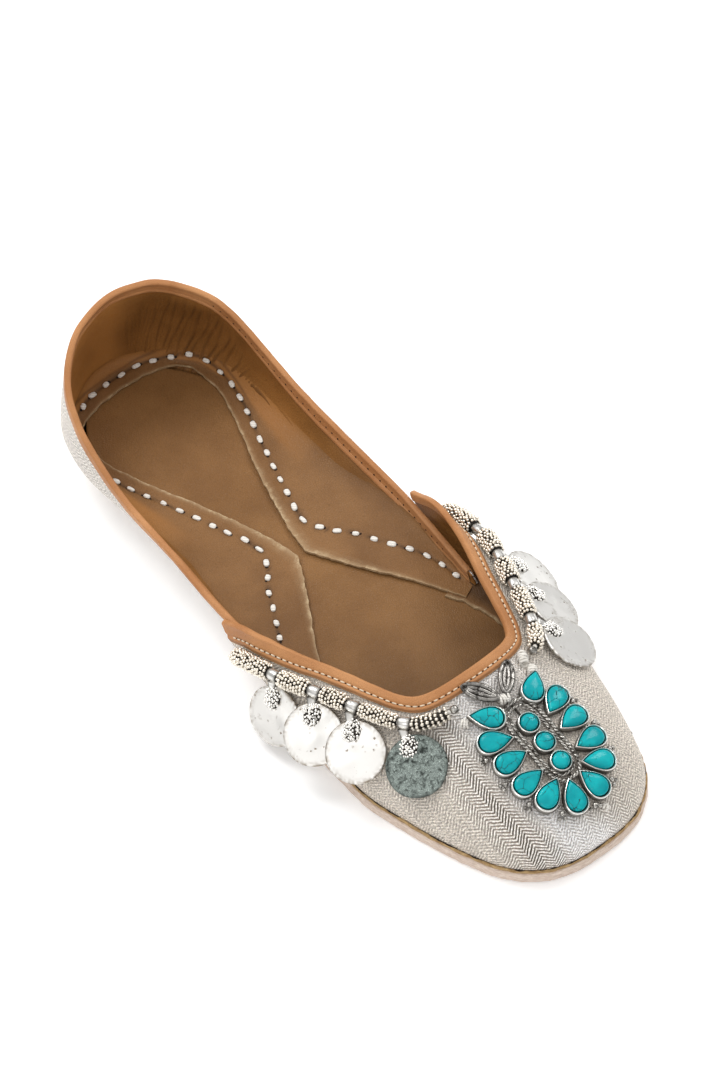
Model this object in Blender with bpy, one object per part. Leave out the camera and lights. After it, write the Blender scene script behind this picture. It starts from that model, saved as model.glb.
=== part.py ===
"""A jutti: a flat slip-on shoe with a woven upper, bound edges, hanging coins and a stone-set brooch.

The toe points to -Y and the sole stands on Z = 0. Sizes are in millimetres and become metres when
a mesh is made. A station is a distance along the shoe from the back of the heel.
"""

import bpy
import numpy as np
from math import cos, pi, radians, sin, tau
from mathutils import Matrix, Vector
from mathutils.bvhtree import BVHTree

MM = 0.001

# Driving sizes
LENGTH = 251.0
SOLE_BACK = 3.0
MIDDLE = 126.2
GAP = 0.3
OUTSOLE_THICK = 4.4
MIDSOLE_THICK = 1.0
INSOLE_TOP = 10.0
MARGIN_THICK = 0.9
WALL = 1.8
BINDING_THICK = 0.8
TOE_SPRING = 0.8
ARCH_RISE = 0.8

MIDSOLE_LOW = OUTSOLE_THICK + GAP
MIDSOLE_TOP = MIDSOLE_LOW + MIDSOLE_THICK
UPPER_FOOT = MIDSOLE_TOP + GAP

# Half width of the sole at stations along the shoe, before its two ends are rounded
SOLE_COLUMNS = ("station", "half_width")
SOLE_ROWS = (
    (3, 25.0), (40, 26.0), (65, 25.2), (85, 25.3), (100, 27.5), (120, 33.0), (140, 38.8),
    (160, 43.0), (185, 44.3), (205, 40.9), (222, 36.2), (236, 30.9), (251, 25.0),
)
HEEL_ROUND, HEEL_POWER = 37.0, 2.2
TOE_ROUND, TOE_POWER = 22.0, 2.8

# Ribs of the two walls of the upper, from the middle (turn 0) to one side (turn 1). A rib falls
# from the wall's top edge to its foot on the sole: it leaves the edge by fall_run outwards and
# fall_drop down, and comes in to the foot from belly_out beyond it and belly_up above it.
RIB_COLUMNS = (
    "turn", "edge_across", "edge_station", "edge_height", "foot_station", "foot_inset", "foot_lift",
    "fall_run", "fall_drop", "belly_out", "belly_up",
)
VAMP_ROWS = (
    (0.00, 0.0, 189.0, 37.0, 251, 0.8, 0, 22, 9.5, 2.0, 18),
    (0.16, 10.0, 187.7, 35.2, 243.5, 0.8, 0, 19, 8.5, 1.5, 16),
    (0.30, 18.3, 184.0, 31.8, 226, 0.8, 0, 16, 7.5, 0.0, 13),
    (0.40, 21.8, 179.0, 30.2, 207, 0.8, 0, 14, 7.0, 0.0, 11.5),
    (0.50, 25.2, 170.0, 29.4, 188, 0.8, 0, 12, 6.5, 3.0, 11),
    (0.60, 28.4, 160.5, 29.0, 172, 0.8, 0, 10, 6.0, 7.5, 10.5),
    (0.80, 36.5, 138.0, 27.6, 147, 0.8, 0, 6, 5.0, 10.0, 10),
    (0.90, 39.4, 125.0, 24.6, 136, 0.8, 0, 4, 5.0, 11.0, 9),
    (1.00, 41.4, 113.0, 18.8, 125, 0.8, 0, 2, 4.0, 11.0, 6),
)
QUARTER_ROWS = (
    (0.000, 0.0, 9.0, 54.3, 3, 0.8, 0, 5.0, 16, 3.5, 16),
    (0.125, 13.2, 11.3, 52.8, 6, 0.8, 0, 4.0, 15, 4.0, 15),
    (0.250, 24.4, 18.0, 48.2, 13, 0.8, 0, 2.0, 13, 8.0, 13),
    (0.375, 31.9, 28.2, 42.2, 24, 0.8, 0, 0.5, 12, 13.5, 10),
    (0.500, 34.8, 40.0, 34.8, 38, 0.8, 0, 0.0, 10, 14.0, 8),
    (0.650, 36.2, 60.0, 26.0, 60, 0.8, 0, -0.8, 8, 10.0, 6),
    (0.770, 36.6, 82.0, 21.7, 82, 0.8, 0, -0.9, 6, 6.0, 5),
    (0.880, 37.5, 108.0, 17.4, 108, 0.8, 0, -0.6, 4, 5.0, 4),
    (0.950, 36.4, 128.0, 16.0, 128, 0.8, 0, 0.0, 3, 2.0, 4),
    (1.000, 34.5, 149.0, 14.8, 149, 6.2, 5.3, 0.0, 1, 0.0, 1),
)
QUARTER_LIFT = 0.25

# The lining's sewn margin on the insole, from the heel's back forwards: half of its inner edge, and
# the station on the shoe's rim that lies opposite
MARGIN_COLUMNS = ("station", "half_gap", "rim_station")
MARGIN_ROWS = (
    (13.7, 0, 3), (14.3, 9, 5), (16.8, 17.6, 10), (23, 23, 20), (33, 23.6, 34), (46.5, 20, 48), (66, 12.4, 67),
    (82, 7, 82), (95, 3.2, 95), (104, 1.8, 104), (109, 4, 110), (116, 8, 118), (125, 13.5, 128),
    (136, 20.5, 138), (152, 28.5, 149.5),
)

# Folded strips along the two top edges: their depth on the outer and inner face, and at their ends
BINDING_COLUMNS = ("face_depth", "back_depth", "face_at_ends", "back_at_ends")
QUARTER_BINDING = (3.6, 4.6, 1.8, 2.8)
VAMP_BINDING = (4.8, 2.4, 6.2, 2.4)
BINDING_END = 0.995

# The strings of beads, and where the coins hang on each side, as turns of the vamp from the wing on
STRING_DROP = 8.8
STRING_RADIUS = 0.7
BEAD_RADIUS = 2.5
BEAD_LIFT = 0.35
BEAD_END_ROOM = 2.3
STRING_COLUMNS = ("start", "coin_1", "coin_2", "coin_3", "coin_4", "end")
STRING_TURNS = {
    "right": (0.95, 0.80, 0.67, 0.55, 0.39, 0.17),
    "left": (0.95, 0.81, 0.69, 0.575, 0.44, 0.25),
}
SIDES = {"right": -1.0, "left": 1.0}
END_KNOT_RADIUS = 1.7
END_ROOM = {"right": 2.6, "left": 3.2}

# A coin with its boss and bail
COIN_RADIUS = 10.0
COIN_THICK = 0.9
COIN_HANG = 13.0
COIN_SHINGLE = 6.0
COIN_SHIFTS = (2.7, 4.0, 6.3, 5.9)
COIN_CLEAR = 0.5
BOSS_RADIUS = 3.4
BOSS_HEIGHT = 1.9
BOSS_HANG = 6.8
NECK_HANG = 2.9
BAIL_OUTER = 2.0
BAIL_BORE = 1.15
BAIL_WIDTH = 3.2
STRAP_THICK = 1.1

# The brooch, measured from its own middle line: one row for each pair of drops, with the middle of the
# drop and its pointed end
BROOCH_ACROSS = 1.1
DROP_COLUMNS = ("across", "station", "point_across", "point_station")
DROP_ROWS = (
    (8.5, 204.7, 12.7, 200.7),
    (13.0, 210.8, 7.1, 213.7),
    (13.4, 218.9, 6.6, 219.6),
    (13.4, 227.2, 6.9, 226.8),
    (10.8, 234.3, 5.5, 231.4),
    (4.3, 239.4, 2.9, 234.3),
)
DROP_LENGTH = 6.2
DROP_WIDTH = 5.2
DROP_SHIFT = 1.1
ROUND_STATIONS = (213.0, 220.5, 228.0)
ROUND_RADIUS = 3.7
ROPE_COLUMNS = ("across", "station")
ROPE_ROWS = (
    (0.0, 204.6), (3.8, 205.4), (5.6, 208.6), (6.6, 214.0), (6.4, 219.8), (6.4, 226.8), (5.0, 231.2),
    (2.6, 233.4),
)
BEZEL_WALL = 0.9
BEZEL_HEIGHT = 2.3
BEZEL_FLOOR = 0.9
BROOCH_LIFT = 0.5
BROOCH_FLAT = 0.4
CUP_LIFT = 0.9
STONE_DOME = 1.3
WIRE_RADIUS = 0.75
SPINE_RADIUS = 0.42
KNOB_RADIUS = 1.7
LEAF_COLUMNS = ("top_across", "top_station", "low_across", "low_station")
LEAF_LOOPS = {"right": (-7.3, 191.6, -1.2, 201.4), "left": (8.8, 193.0, 1.6, 201.4)}
LEAF_WIDTH = 2.0
LEAF_WIRE = 0.6
LEAF_LIFT = 2.3


def column(rows, names, name):
    """One named column of a table, as an array."""
    return np.array([row[names.index(name)] for row in rows], float)


def smooth_curve(knots, values, at):
    """A smooth curve through a table's rows that never swings past them (monotone cubic)."""
    knots, values, at = (np.asarray(a, float) for a in (knots, values, at))
    step = np.diff(knots)
    rise = np.diff(values) / step
    slope = np.concatenate([rise[:1], np.zeros(len(rise) - 1), rise[-1:]])
    same_way = rise[:-1] * rise[1:] > 0
    before, after = rise[:-1][same_way], rise[1:][same_way]
    slope[1:-1][same_way] = 2 * before * after / (before + after)
    span = np.clip(np.searchsorted(knots, at) - 1, 0, len(step) - 1)
    u = (at - knots[span]) / step[span]
    from_low = values[span] * (1 + 2 * u) * (1 - u) ** 2 + slope[span] * step[span] * u * (1 - u) ** 2
    from_high = values[span + 1] * u * u * (3 - 2 * u) - slope[span + 1] * step[span] * u * u * (1 - u)
    return from_low + from_high


def fade(value, start, end):
    """0 before start and 1 after end, with a smooth step between them."""
    u = np.clip((np.asarray(value, float) - start) / (end - start), 0, 1)
    return u * u * (3 - 2 * u)


def unit(vectors):
    return vectors / np.linalg.norm(vectors, axis=-1, keepdims=True)


def stand(points):
    """Lift what lies over the waist and the toe, so that the sole rests on heel and forefoot."""
    points = np.array(points, float)
    station = MIDDLE - points[:, 1]
    arch = fade(station, 60, 90) * (1 - fade(station, 105, 140))
    toe = np.clip((station - 222) / (LENGTH - 222), 0, None) ** 2
    points[:, 2] += ARCH_RISE * arch + TOE_SPRING * toe
    return points


# The sole's outline

def half_width(station):
    """Half width of the sole, with its heel and its square toe rounded off."""
    station = np.asarray(station, float)
    width = smooth_curve(column(SOLE_ROWS, SOLE_COLUMNS, "station"),
                         column(SOLE_ROWS, SOLE_COLUMNS, "half_width"), station)
    to_heel = np.clip(1 - (station - SOLE_BACK) / HEEL_ROUND, 0, 1)
    to_toe = np.clip(1 - (LENGTH - station) / TOE_ROUND, 0, 1)
    heel_cap = (1 - to_heel ** HEEL_POWER) ** (1 / HEEL_POWER)
    toe_cap = (1 - to_toe ** TOE_POWER) ** (1 / TOE_POWER)
    return width * heel_cap * toe_cap


def end_to_end(count, start=SOLE_BACK, end=LENGTH):
    """Stations from heel to toe, close together at the two ends, where the outline turns."""
    return start + (end - start) * (1 - np.cos(np.linspace(0, pi, count))) / 2


def outline_frame(side, station):
    """Points of the sole's outline and its outward normals, in plan, for one side or each."""
    ahead = np.minimum(station + 0.02, LENGTH)
    behind = np.maximum(station - 0.02, SOLE_BACK)
    place = np.stack([side * half_width(station), MIDDLE - station], axis=-1)
    run = np.stack([side * (half_width(ahead) - half_width(behind)), behind - ahead], axis=-1)
    normal = unit(np.stack([-run[:, 1], run[:, 0]], axis=-1)) * side[:, None]
    at_tip = half_width(station) < 1e-6
    normal[at_tip] = np.where(station[at_tip, None] > LENGTH / 2, [[0.0, -1.0]], [[0.0, 1.0]])
    return place, normal


def inset_outline(count, inset):
    """The closed outline, counterclockwise from the heel's back, moved in by a number or f(station)."""
    station = end_to_end(count)
    side = np.ones(count)
    place, normal = outline_frame(side, station)
    half = place - normal * np.broadcast_to(inset(station) if callable(inset) else inset, count)[:, None]
    other = half[-2:0:-1] * [-1, 1]
    return np.concatenate([half, other])[::-1]


# The walls of the upper

def mirrored(rows, name):
    """A rib column from the other side's turn -1 to this side's turn 1."""
    values = column(rows, RIB_COLUMNS, name)
    odd = name in ("turn", "edge_across")
    return np.concatenate([(-values if odd else values)[:0:-1], values])


def rib_controls(rows, turn, foot_height, fans_out):
    """The four control points of each rib. Ribs that fan out leave the edge towards their own foot."""
    turn = np.asarray(turn, float)
    value = {name: smooth_curve(mirrored(rows, "turn"), mirrored(rows, name), turn)
             for name in RIB_COLUMNS}
    edge = np.stack([value["edge_across"], MIDDLE - value["edge_station"], value["edge_height"]], axis=-1)
    side = np.where(turn < 0, -1.0, 1.0)
    plan, outward = outline_frame(side, value["foot_station"])
    plan = plan - outward * value["foot_inset"][:, None]
    level = foot_height + value["foot_lift"][:, None]
    foot = np.concatenate([plan, level], axis=1)
    outward = np.concatenate([outward, 0 * level], axis=1)
    up = np.array([0.0, 0.0, 1.0])
    fall = unit((foot - edge) * [1, 1, 0]) if fans_out else outward
    leave = edge + fall * value["fall_run"][:, None] - up * value["fall_drop"][:, None]
    arrive = foot + outward * value["belly_out"][:, None] + up * value["belly_up"][:, None]
    return edge, leave, arrive, foot


class Wall:
    """An outer face of the upper, addressed by turn (round the shoe) and drop (down from its edge)."""

    def __init__(self, rows, foot_height, fans_out):
        self.rows = rows
        self.foot_height = foot_height
        self.fans_out = fans_out

    def at(self, turn, fall):
        """Points at a share of the rib's fall, from 0 at the edge to 1 at the foot."""
        edge, leave, arrive, foot = rib_controls(self.rows, turn, self.foot_height, self.fans_out)
        f = np.asarray(fall, float)[:, None]
        return (edge * (1 - f) ** 3 + leave * 3 * f * (1 - f) ** 2
                + arrive * 3 * f * f * (1 - f) + foot * f ** 3)

    def normal(self, turn, fall):
        step = 1e-3
        low, high = np.clip(fall - step, 0, 1), np.clip(fall + step, 0, 1)
        down = self.at(turn, high) - self.at(turn, low)
        left, right = np.clip(turn - step, -1, 1), np.clip(turn + step, -1, 1)
        across = self.at(right, fall) - self.at(left, fall)
        return unit(np.cross(down, across)) * (1 if self.fans_out else -1)

    def fall_of_drop(self, turn, drop):
        """Share of the fall at a distance down each rib."""
        shares = np.linspace(0, 1, 41)
        path = np.stack([self.at(turn, np.full(len(turn), s)) for s in shares])
        length = np.cumsum(np.linalg.norm(np.diff(path, axis=0), axis=2), axis=0)
        length = np.concatenate([np.zeros((1, len(turn))), length])
        return np.array([np.interp(d, length[:, i], shares) for i, d in enumerate(drop)])

    def place(self, turn, drop, out):
        """Points at a drop below the edge (above it where negative) and a height out of the face."""
        turn = np.asarray(turn, float)
        drop = np.broadcast_to(np.asarray(drop, float), turn.shape)
        fall = self.fall_of_drop(turn, np.maximum(drop, 0))
        down = unit(self.at(turn, np.full(turn.shape, 0.01)) - self.at(turn, np.zeros(turn.shape)))
        above = down * np.minimum(drop, 0)[:, None]
        return self.at(turn, fall) + above + self.normal(turn, fall) * out

    def shell(self, turns, falls, thick):
        """Vertices and faces of the closed wall."""
        grid_turn = np.repeat(turns, len(falls))
        grid_fall = np.tile(falls, len(turns))
        outer = self.at(grid_turn, grid_fall)
        inner = outer - self.normal(grid_turn, grid_fall) * thick
        inner[:, 2] = np.maximum(inner[:, 2], self.at(grid_turn, np.ones(len(grid_turn)))[:, 2])
        top, bottom = (outer, inner) if self.fans_out else (inner, outer)
        return closed_sheet(top, bottom, len(turns), len(falls))


def closed_sheet(outer, inner, columns, rows):
    """Join two grids of points into one closed skin, with its faces pointing out."""
    n = columns * rows
    faces = []
    for i in range(columns - 1):
        for j in range(rows - 1):
            a = i * rows + j
            quad = (a, a + 1, a + rows + 1, a + rows)
            faces.append(quad)
            faces.append(tuple(k + n for k in quad[::-1]))
    border = [i * rows for i in range(columns)]
    border += [(columns - 1) * rows + j for j in range(1, rows)]
    border += [i * rows + rows - 1 for i in range(columns - 2, -1, -1)]
    border += [j for j in range(rows - 2, 0, -1)]
    for a, b in zip(border, border[1:] + border[:1]):
        faces.append((a, b, b + n, a + n))
    return np.concatenate([outer, inner]), faces


VAMP = Wall(VAMP_ROWS, UPPER_FOOT, fans_out=True)
QUARTER = Wall(QUARTER_ROWS, UPPER_FOOT + QUARTER_LIFT, fans_out=False)


# Making objects

def finish_material(name, colour, roughness, metallic=0.0):
    material = bpy.data.materials.new(name)
    material.use_nodes = True
    shader = material.node_tree.nodes["Principled BSDF"]
    shader.inputs["Base Color"].default_value = (*colour, 1.0)
    shader.inputs["Roughness"].default_value = roughness
    shader.inputs["Metallic"].default_value = metallic
    return material


def make_mesh(name, points, faces):
    mesh = bpy.data.meshes.new(name)
    mesh.from_pydata((stand(points) * MM).tolist(), [], faces)
    mesh.validate()
    mesh.shade_smooth()
    mesh.set_sharp_from_angle(angle=radians(35))
    return mesh


def make_object(name, points, faces, material):
    mesh = make_mesh(name, points, faces)
    mesh.materials.append(material)
    item = bpy.data.objects.new(name, mesh)
    bpy.context.collection.objects.link(item)
    return item


def fuse(name, solids, material, origin=(0.0, 0.0, 0.0)):
    """One object from several closed solids, joined by a union, with its origin at a place in metres."""
    pieces = [make_object(f"{name}_piece_{i}", *solid, material) for i, solid in enumerate(solids)]
    first = pieces[0]
    others = bpy.data.collections.new(f"{name}_others")
    for piece in pieces[1:]:
        others.objects.link(piece)
    union = first.modifiers.new("union", "BOOLEAN")
    union.operation = "UNION"
    union.operand_type = "COLLECTION"
    union.collection = others
    union.solver = "EXACT"
    bpy.context.view_layer.update()
    mesh = bpy.data.meshes.new_from_object(first.evaluated_get(bpy.context.evaluated_depsgraph_get()))
    for piece in pieces:
        bpy.data.objects.remove(piece)
    bpy.data.collections.remove(others)
    mesh.name = name
    mesh.transform(Matrix.Translation(-Vector(origin)))
    item = bpy.data.objects.new(name, mesh)
    item.location = origin
    bpy.context.collection.objects.link(item)
    return item


def ring_faces(rings, count, closed_ends=True):
    """Side faces between rings of points in a row, with the two end rings filled."""
    faces = []
    for r in range(rings - 1):
        for i in range(count):
            a, b = r * count + i, r * count + (i + 1) % count
            faces.append((a, b, b + count, a + count))
    if closed_ends:
        top = (rings - 1) * count
        faces.append(tuple(range(count))[::-1])
        faces.append(tuple(range(top, top + count)))
    return faces


def round_and_back(rings, count):
    """Faces of a ring of rings: the last ring joins the first."""
    faces = ring_faces(rings + 1, count, closed_ends=False)
    total = rings * count
    return [tuple(k % total for k in face) for face in faces]


def level_rings(rings):
    """A closed solid through level outlines, from the lowest to the highest."""
    count = len(rings[0][0])
    points = np.concatenate([np.column_stack([plan, np.full(count, level)]) for plan, level in rings])
    return points, ring_faces(len(rings), count)


def sole_layer(rings):
    """A closed solid through outlines of the sole, with its two flat faces in strips from side to side."""
    points, faces = level_rings(rings)
    count = len(rings[0][0])
    half = count // 2
    strips = [(0, count - 2, count - 1), (half - 2, half - 1, half)]
    strips += [(i, i + 1, count - 3 - i, count - 2 - i) for i in range(half - 2)]
    top = (len(rings) - 1) * count
    faces = faces[:-2] + [strip[::-1] for strip in strips]
    return points, faces + [tuple(top + k for k in strip) for strip in strips]


def tube(path, radius, sides, closed=False):
    """A round tube along a path; radius may change from point to point."""
    path = np.asarray(path, float)
    radius = np.broadcast_to(np.asarray(radius, float), len(path))
    if closed:
        along = unit(np.roll(path, -1, axis=0) - np.roll(path, 1, axis=0))
    else:
        along = unit(np.gradient(path, axis=0))
    up = np.array([0.0, 0.0, 1.0])
    right = unit(np.cross(along, up))
    lift = np.cross(along, right)
    angle = np.linspace(0, tau, sides, endpoint=False)
    ring = np.cos(angle)[None, :, None] * right[:, None] + np.sin(angle)[None, :, None] * lift[:, None]
    points = (path[:, None] + ring * radius[:, None, None]).reshape(-1, 3)
    return points, round_and_back(len(path), sides) if closed else ring_faces(len(path), sides)


def ball(centre, radius, sides=6, rows=3):
    """A small sphere."""
    points = [centre + np.array([0, 0, -radius])]
    for row in range(1, rows):
        tilt = pi * row / rows
        for i in range(sides):
            angle = tau * i / sides
            spoke = np.array([sin(tilt) * cos(angle), sin(tilt) * sin(angle), -cos(tilt)])
            points.append(centre + radius * spoke)
    points.append(centre + np.array([0, 0, radius]))
    top = len(points) - 1
    faces = [(0, 1 + (i + 1) % sides, 1 + i) for i in range(sides)]
    for row in range(rows - 2):
        for i in range(sides):
            a, b = 1 + row * sides + i, 1 + row * sides + (i + 1) % sides
            faces.append((a, b, b + sides, a + sides))
    low = 1 + (rows - 2) * sides
    faces += [(low + i, low + (i + 1) % sides, top) for i in range(sides)]
    return np.array(points), faces


# Soles

def make_outsole(material):
    count, broken_edge, lean = 41, 0.7, 0.2
    rings = ((inset_outline(count, broken_edge), 0.0), (inset_outline(count, 0.0), broken_edge),
             (inset_outline(count, lean), OUTSOLE_THICK))
    return make_object("outsole", *sole_layer(rings), material)


def make_midsole(material):
    outline = inset_outline(41, 0.3)
    return make_object("midsole", *sole_layer(((outline, MIDSOLE_LOW), (outline, MIDSOLE_TOP))), material)


def insole_inset(station):
    """How far the insole's top lies inside the sole.

    It is less where the walls flare, and more at the quarter's front ends.
    """
    flare = 2.6 * fade(station, 12, 30) * (1 - fade(station, 180, 210))
    notch = 4.6 * fade(station, 116, 130) * (1 - fade(station, 151, 165))
    return 4.7 - flare + notch


def make_insole(material):
    low = inset_outline(41, 4.7)
    high = inset_outline(41, insole_inset)
    return make_object("insole", *sole_layer(((low, UPPER_FOOT), (high, INSOLE_TOP))), material)


def make_lining_margin(material):
    """A flat band round the heel, with two lobes that nearly meet at the waist."""
    row = np.arange(len(MARGIN_ROWS))
    at = np.linspace(0, row[-1], 22)
    value = {name: smooth_curve(row, column(MARGIN_ROWS, MARGIN_COLUMNS, name), at)
             for name in MARGIN_COLUMNS}
    inner = np.stack([value["half_gap"], MIDDLE - value["station"]], axis=-1)
    place, normal = outline_frame(np.ones(len(at)), value["rim_station"])
    outer = place - normal * (insole_inset(value["rim_station"]) + 0.9)[:, None]
    band = np.stack([inner, outer], axis=1)
    band = np.concatenate([band[:0:-1] * [-1, 1], band])
    columns = len(band)
    plan = band.reshape(-1, 2)
    low, high = (np.column_stack([plan, np.full(len(plan), z)]) for z in
                 (INSOLE_TOP + GAP, INSOLE_TOP + GAP + MARGIN_THICK))
    return make_object("lining_margin", *closed_sheet(low, high, columns, 2), material)


# Bindings

def make_binding(name, wall, depths, turns, material):
    """A strip folded over a wall's top edge, with the wall in its fold."""
    turns = np.clip(turns, -BINDING_END, BINDING_END)
    face, back, face_at_ends, back_at_ends = depths
    to_end = fade(np.abs(turns), 0.65, 0.9)
    face = face + (face_at_ends - face) * to_end
    back = back + (back_at_ends - back) * to_end
    near, far = GAP, GAP + BINDING_THICK
    behind = WALL + 2 * GAP
    section = (
        (face, near), (face, far), (0.2, far), (-far, 0.0), (-far, -WALL), (0.2, -behind - BINDING_THICK),
        (back, -behind - BINDING_THICK), (back, -behind), (-near, -behind), (-near, near),
    )
    points = np.stack([wall.place(turns, drop, out) for drop, out in section], axis=1).reshape(-1, 3)
    faces = ring_faces(len(turns), len(section))
    if wall.fans_out:
        faces = [face_loop[::-1] for face_loop in faces]
    return make_object(name, points, faces, material)


# Strings, beads and coins

def string_path(side, start, end, count=160):
    """Centres along a string on the vamp, from the wing to the throat, with their run and turns."""
    turns = SIDES[side] * np.linspace(start, end, count)
    path = VAMP.place(turns, STRING_DROP, BEAD_RADIUS + BEAD_LIFT)
    run = np.concatenate([[0], np.cumsum(np.linalg.norm(np.diff(path, axis=0), axis=1))])
    return path, run, np.abs(turns)


def on_string(path, run, at):
    return np.stack([np.interp(at, run, path[:, k]) for k in range(3)], axis=-1)


def make_string(side, silver, thread):
    """A string, its beads and the runs where its coins hang."""
    start, *hangs, end = STRING_TURNS[side]
    path, run, turns = string_path(side, start, end)
    stops = np.interp([-h for h in hangs], -turns, run)
    last = run[-1] - END_ROOM[side]
    knots = np.concatenate([np.linspace(0, last, 16), [run[-1] - END_KNOT_RADIUS, run[-1]]])
    radius = np.full(len(knots), STRING_RADIUS)
    radius[-2:] = END_KNOT_RADIUS, END_KNOT_RADIUS * 0.7
    make_object(f"string_{side}", *tube(on_string(path, run, knots), radius, 5), thread)
    spans = zip([0, *(stops + BEAD_END_ROOM)], [*(stops - BEAD_END_ROOM), last - GAP])
    for i, (low, high) in enumerate(spans, 1):
        make_object(f"bead_{side}_{i}", *bead(path, run, low, high), silver)
    ways = unit(on_string(path, run, stops + 1) - on_string(path, run, stops - 1))
    return on_string(path, run, stops), ways


def bead(path, run, low, high):
    """A hollow barrel round the string, with eased ends."""
    sides, ease = 7, 0.9
    bore = STRING_RADIUS + 0.5
    at = np.array([low, low, low + ease, (low + high) / 2, high - ease, high, high, (low + high) / 2])
    size = np.array([bore, 1.7, BEAD_RADIUS, BEAD_RADIUS, BEAD_RADIUS, 1.7, bore, bore])
    centre = on_string(path, run, at)
    along = unit(on_string(path, run, at + 0.2) - on_string(path, run, at - 0.2))
    right = unit(np.cross(along, [0.0, 0.0, 1.0]))
    lift = np.cross(along, right)
    angle = np.linspace(0, tau, sides, endpoint=False)
    ring = np.cos(angle)[None, :, None] * right[:, None] + np.sin(angle)[None, :, None] * lift[:, None]
    points = (centre[:, None] + ring * size[:, None, None]).reshape(-1, 3)
    return points, round_and_back(len(at), sides)


def vamp_skin(turns=97, falls=33):
    """The vamp's outer face as a tree that answers where its surface is."""
    turn, fall = np.linspace(-1, 1, turns), np.linspace(0, 1, falls)
    points = VAMP.at(np.repeat(turn, falls), np.tile(fall, turns))
    faces = []
    for i in range(turns - 1):
        for j in range(falls - 1):
            a = i * falls + j
            faces.append((a, a + 1, a + falls + 1, a + falls))
    return BVHTree.FromPolygons([Vector(p) for p in points], faces)


def height_over(skin, points):
    """Heights of points over the skin, negative inside it."""
    heights = []
    for point in points:
        nearest, normal, _, _ = skin.find_nearest(Vector(point))
        heights.append((Vector(point) - nearest).dot(normal))
    return np.array(heights)


def turned(vectors, axis, angle):
    """Vectors turned about an axis through the origin by the right-hand rule."""
    matrix = np.array(Matrix.Rotation(angle, 3, Vector(axis)))
    return vectors @ matrix.T


def coin_solids(side, shift):
    """Disc, boss, strap and bail ring of a coin: X along the string, Y down the coin, Z out of its face.

    The disc is rolled so that it lies over the coin behind it, and hangs a shift nearer the toe.
    """
    angle = np.linspace(0, tau, 16, endpoint=False)
    circle = np.stack([np.cos(angle), np.sin(angle)], axis=-1)
    eight = circle[::2]
    to_toe = SIDES[side] * shift / (COIN_HANG - NECK_HANG)
    disc, disc_faces = level_rings([(circle * COIN_RADIUS, z) for z in (-COIN_THICK / 2, COIN_THICK / 2)])
    disc = turned(disc, (0, 1, 0), SIDES[side] * radians(COIN_SHINGLE))
    disc = disc + [to_toe * (COIN_HANG - NECK_HANG), COIN_HANG, 0]
    dome = ((BOSS_RADIUS, -0.2), (BOSS_RADIUS, 0.6), (BOSS_RADIUS * 0.6, BOSS_HEIGHT))
    boss, boss_faces = level_rings([(eight * r, z) for r, z in dome])
    boss = boss + [to_toe * (BOSS_HANG - NECK_HANG), BOSS_HANG, 0]
    half, thick = BAIL_WIDTH / 2, STRAP_THICK / 2
    slim, top, low = half * 0.75, BAIL_BORE + 0.3, BOSS_HANG + 1
    reach = to_toe * (low - NECK_HANG)
    strap = np.array([(x, y, z) for z in (-thick, thick) for x, y in
                      ((-slim, top), (slim, top), (reach + slim, low), (reach - slim, low))])
    hoop = []
    for x, radius in ((-half, BAIL_BORE), (-half, BAIL_OUTER), (half, BAIL_OUTER), (half, BAIL_BORE)):
        hoop += [(x, radius * c, radius * s) for c, s in eight]
    return ((disc, disc_faces), (boss, boss_faces), (strap, ring_faces(2, 4)),
            (np.array(hoop), round_and_back(4, len(eight))))


def coin_frame(skin, place, along, side, shift):
    """Axes of a coin that hangs at place and lies on the vamp: along the string, down, out of the face."""
    nearest, normal, _, _ = skin.find_nearest(Vector(place))
    axis = unit(along * SIDES[side])
    down = unit(np.cross(np.array(normal), axis))
    rim = coin_solids(side, shift)[0][0]
    middle = rim.mean(axis=0)
    disc = np.concatenate([rim, (rim + middle) / 2, [middle - [0, 0, COIN_THICK / 2]]])
    for tilt in np.arange(-50, 40, 0.5):
        lay = turned(down, axis, radians(tilt))
        frame = np.stack([axis, lay, np.cross(axis, lay)])
        if height_over(skin, place + disc @ frame).min() > COIN_CLEAR:
            break
    return frame


def make_coins(side, places, runs, skin, silver):
    """The coins of one side, and the axis that each swings on."""
    swings = {}
    for i, (place, along, shift) in enumerate(zip(places, runs, COIN_SHIFTS), 1):
        frame = coin_frame(skin, place, along, side, shift)
        solids = [(place + points @ frame, faces) for points, faces in coin_solids(side, shift)]
        hinge = stand([place])[0] * MM
        fuse(f"coin_{side}_{i}", solids, silver, hinge)
        swings[f"coin_{side}_{i}"] = (hinge, frame[0])
    return swings


# Brooch

def on_vamp(skin, across, station):
    """The vamp's surface under a point of the plan, and its normal there."""
    hit, normal, _, _ = skin.ray_cast(Vector((across, MIDDLE - station, 90.0)), Vector((0, 0, -1)))
    return np.array(hit), np.array(normal)


def drop_outline(length, width, count=10):
    """A drop with its point at +X and its round end at -X."""
    angle = np.linspace(0, tau, count, endpoint=False)
    return np.stack([length * np.cos(angle), width * np.sin(angle) * np.sin(angle / 2)], axis=-1)


def round_outline(radius, count=8):
    angle = np.linspace(0, tau, count, endpoint=False)
    return radius * np.stack([np.cos(angle), np.sin(angle)], axis=-1)


def setting(outer, inner):
    """A bezel cup and the stone in it, on the plane Z = 0."""
    cup, count = [], len(outer)
    for plan, z in ((outer, 0.0), (outer, BEZEL_HEIGHT), (inner, BEZEL_HEIGHT), (inner, BEZEL_FLOOR)):
        cup.append(np.column_stack([plan, np.full(count, z)]))
    shrink = 1 - GAP / np.abs(inner).max()
    low = BEZEL_FLOOR + GAP
    levels = ((shrink, low), (shrink, BEZEL_HEIGHT), (0.62 * shrink, BEZEL_HEIGHT + STONE_DOME))
    stone = level_rings([(inner * scale, z) for scale, z in levels])
    return (np.concatenate(cup), ring_faces(4, count)), stone


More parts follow.
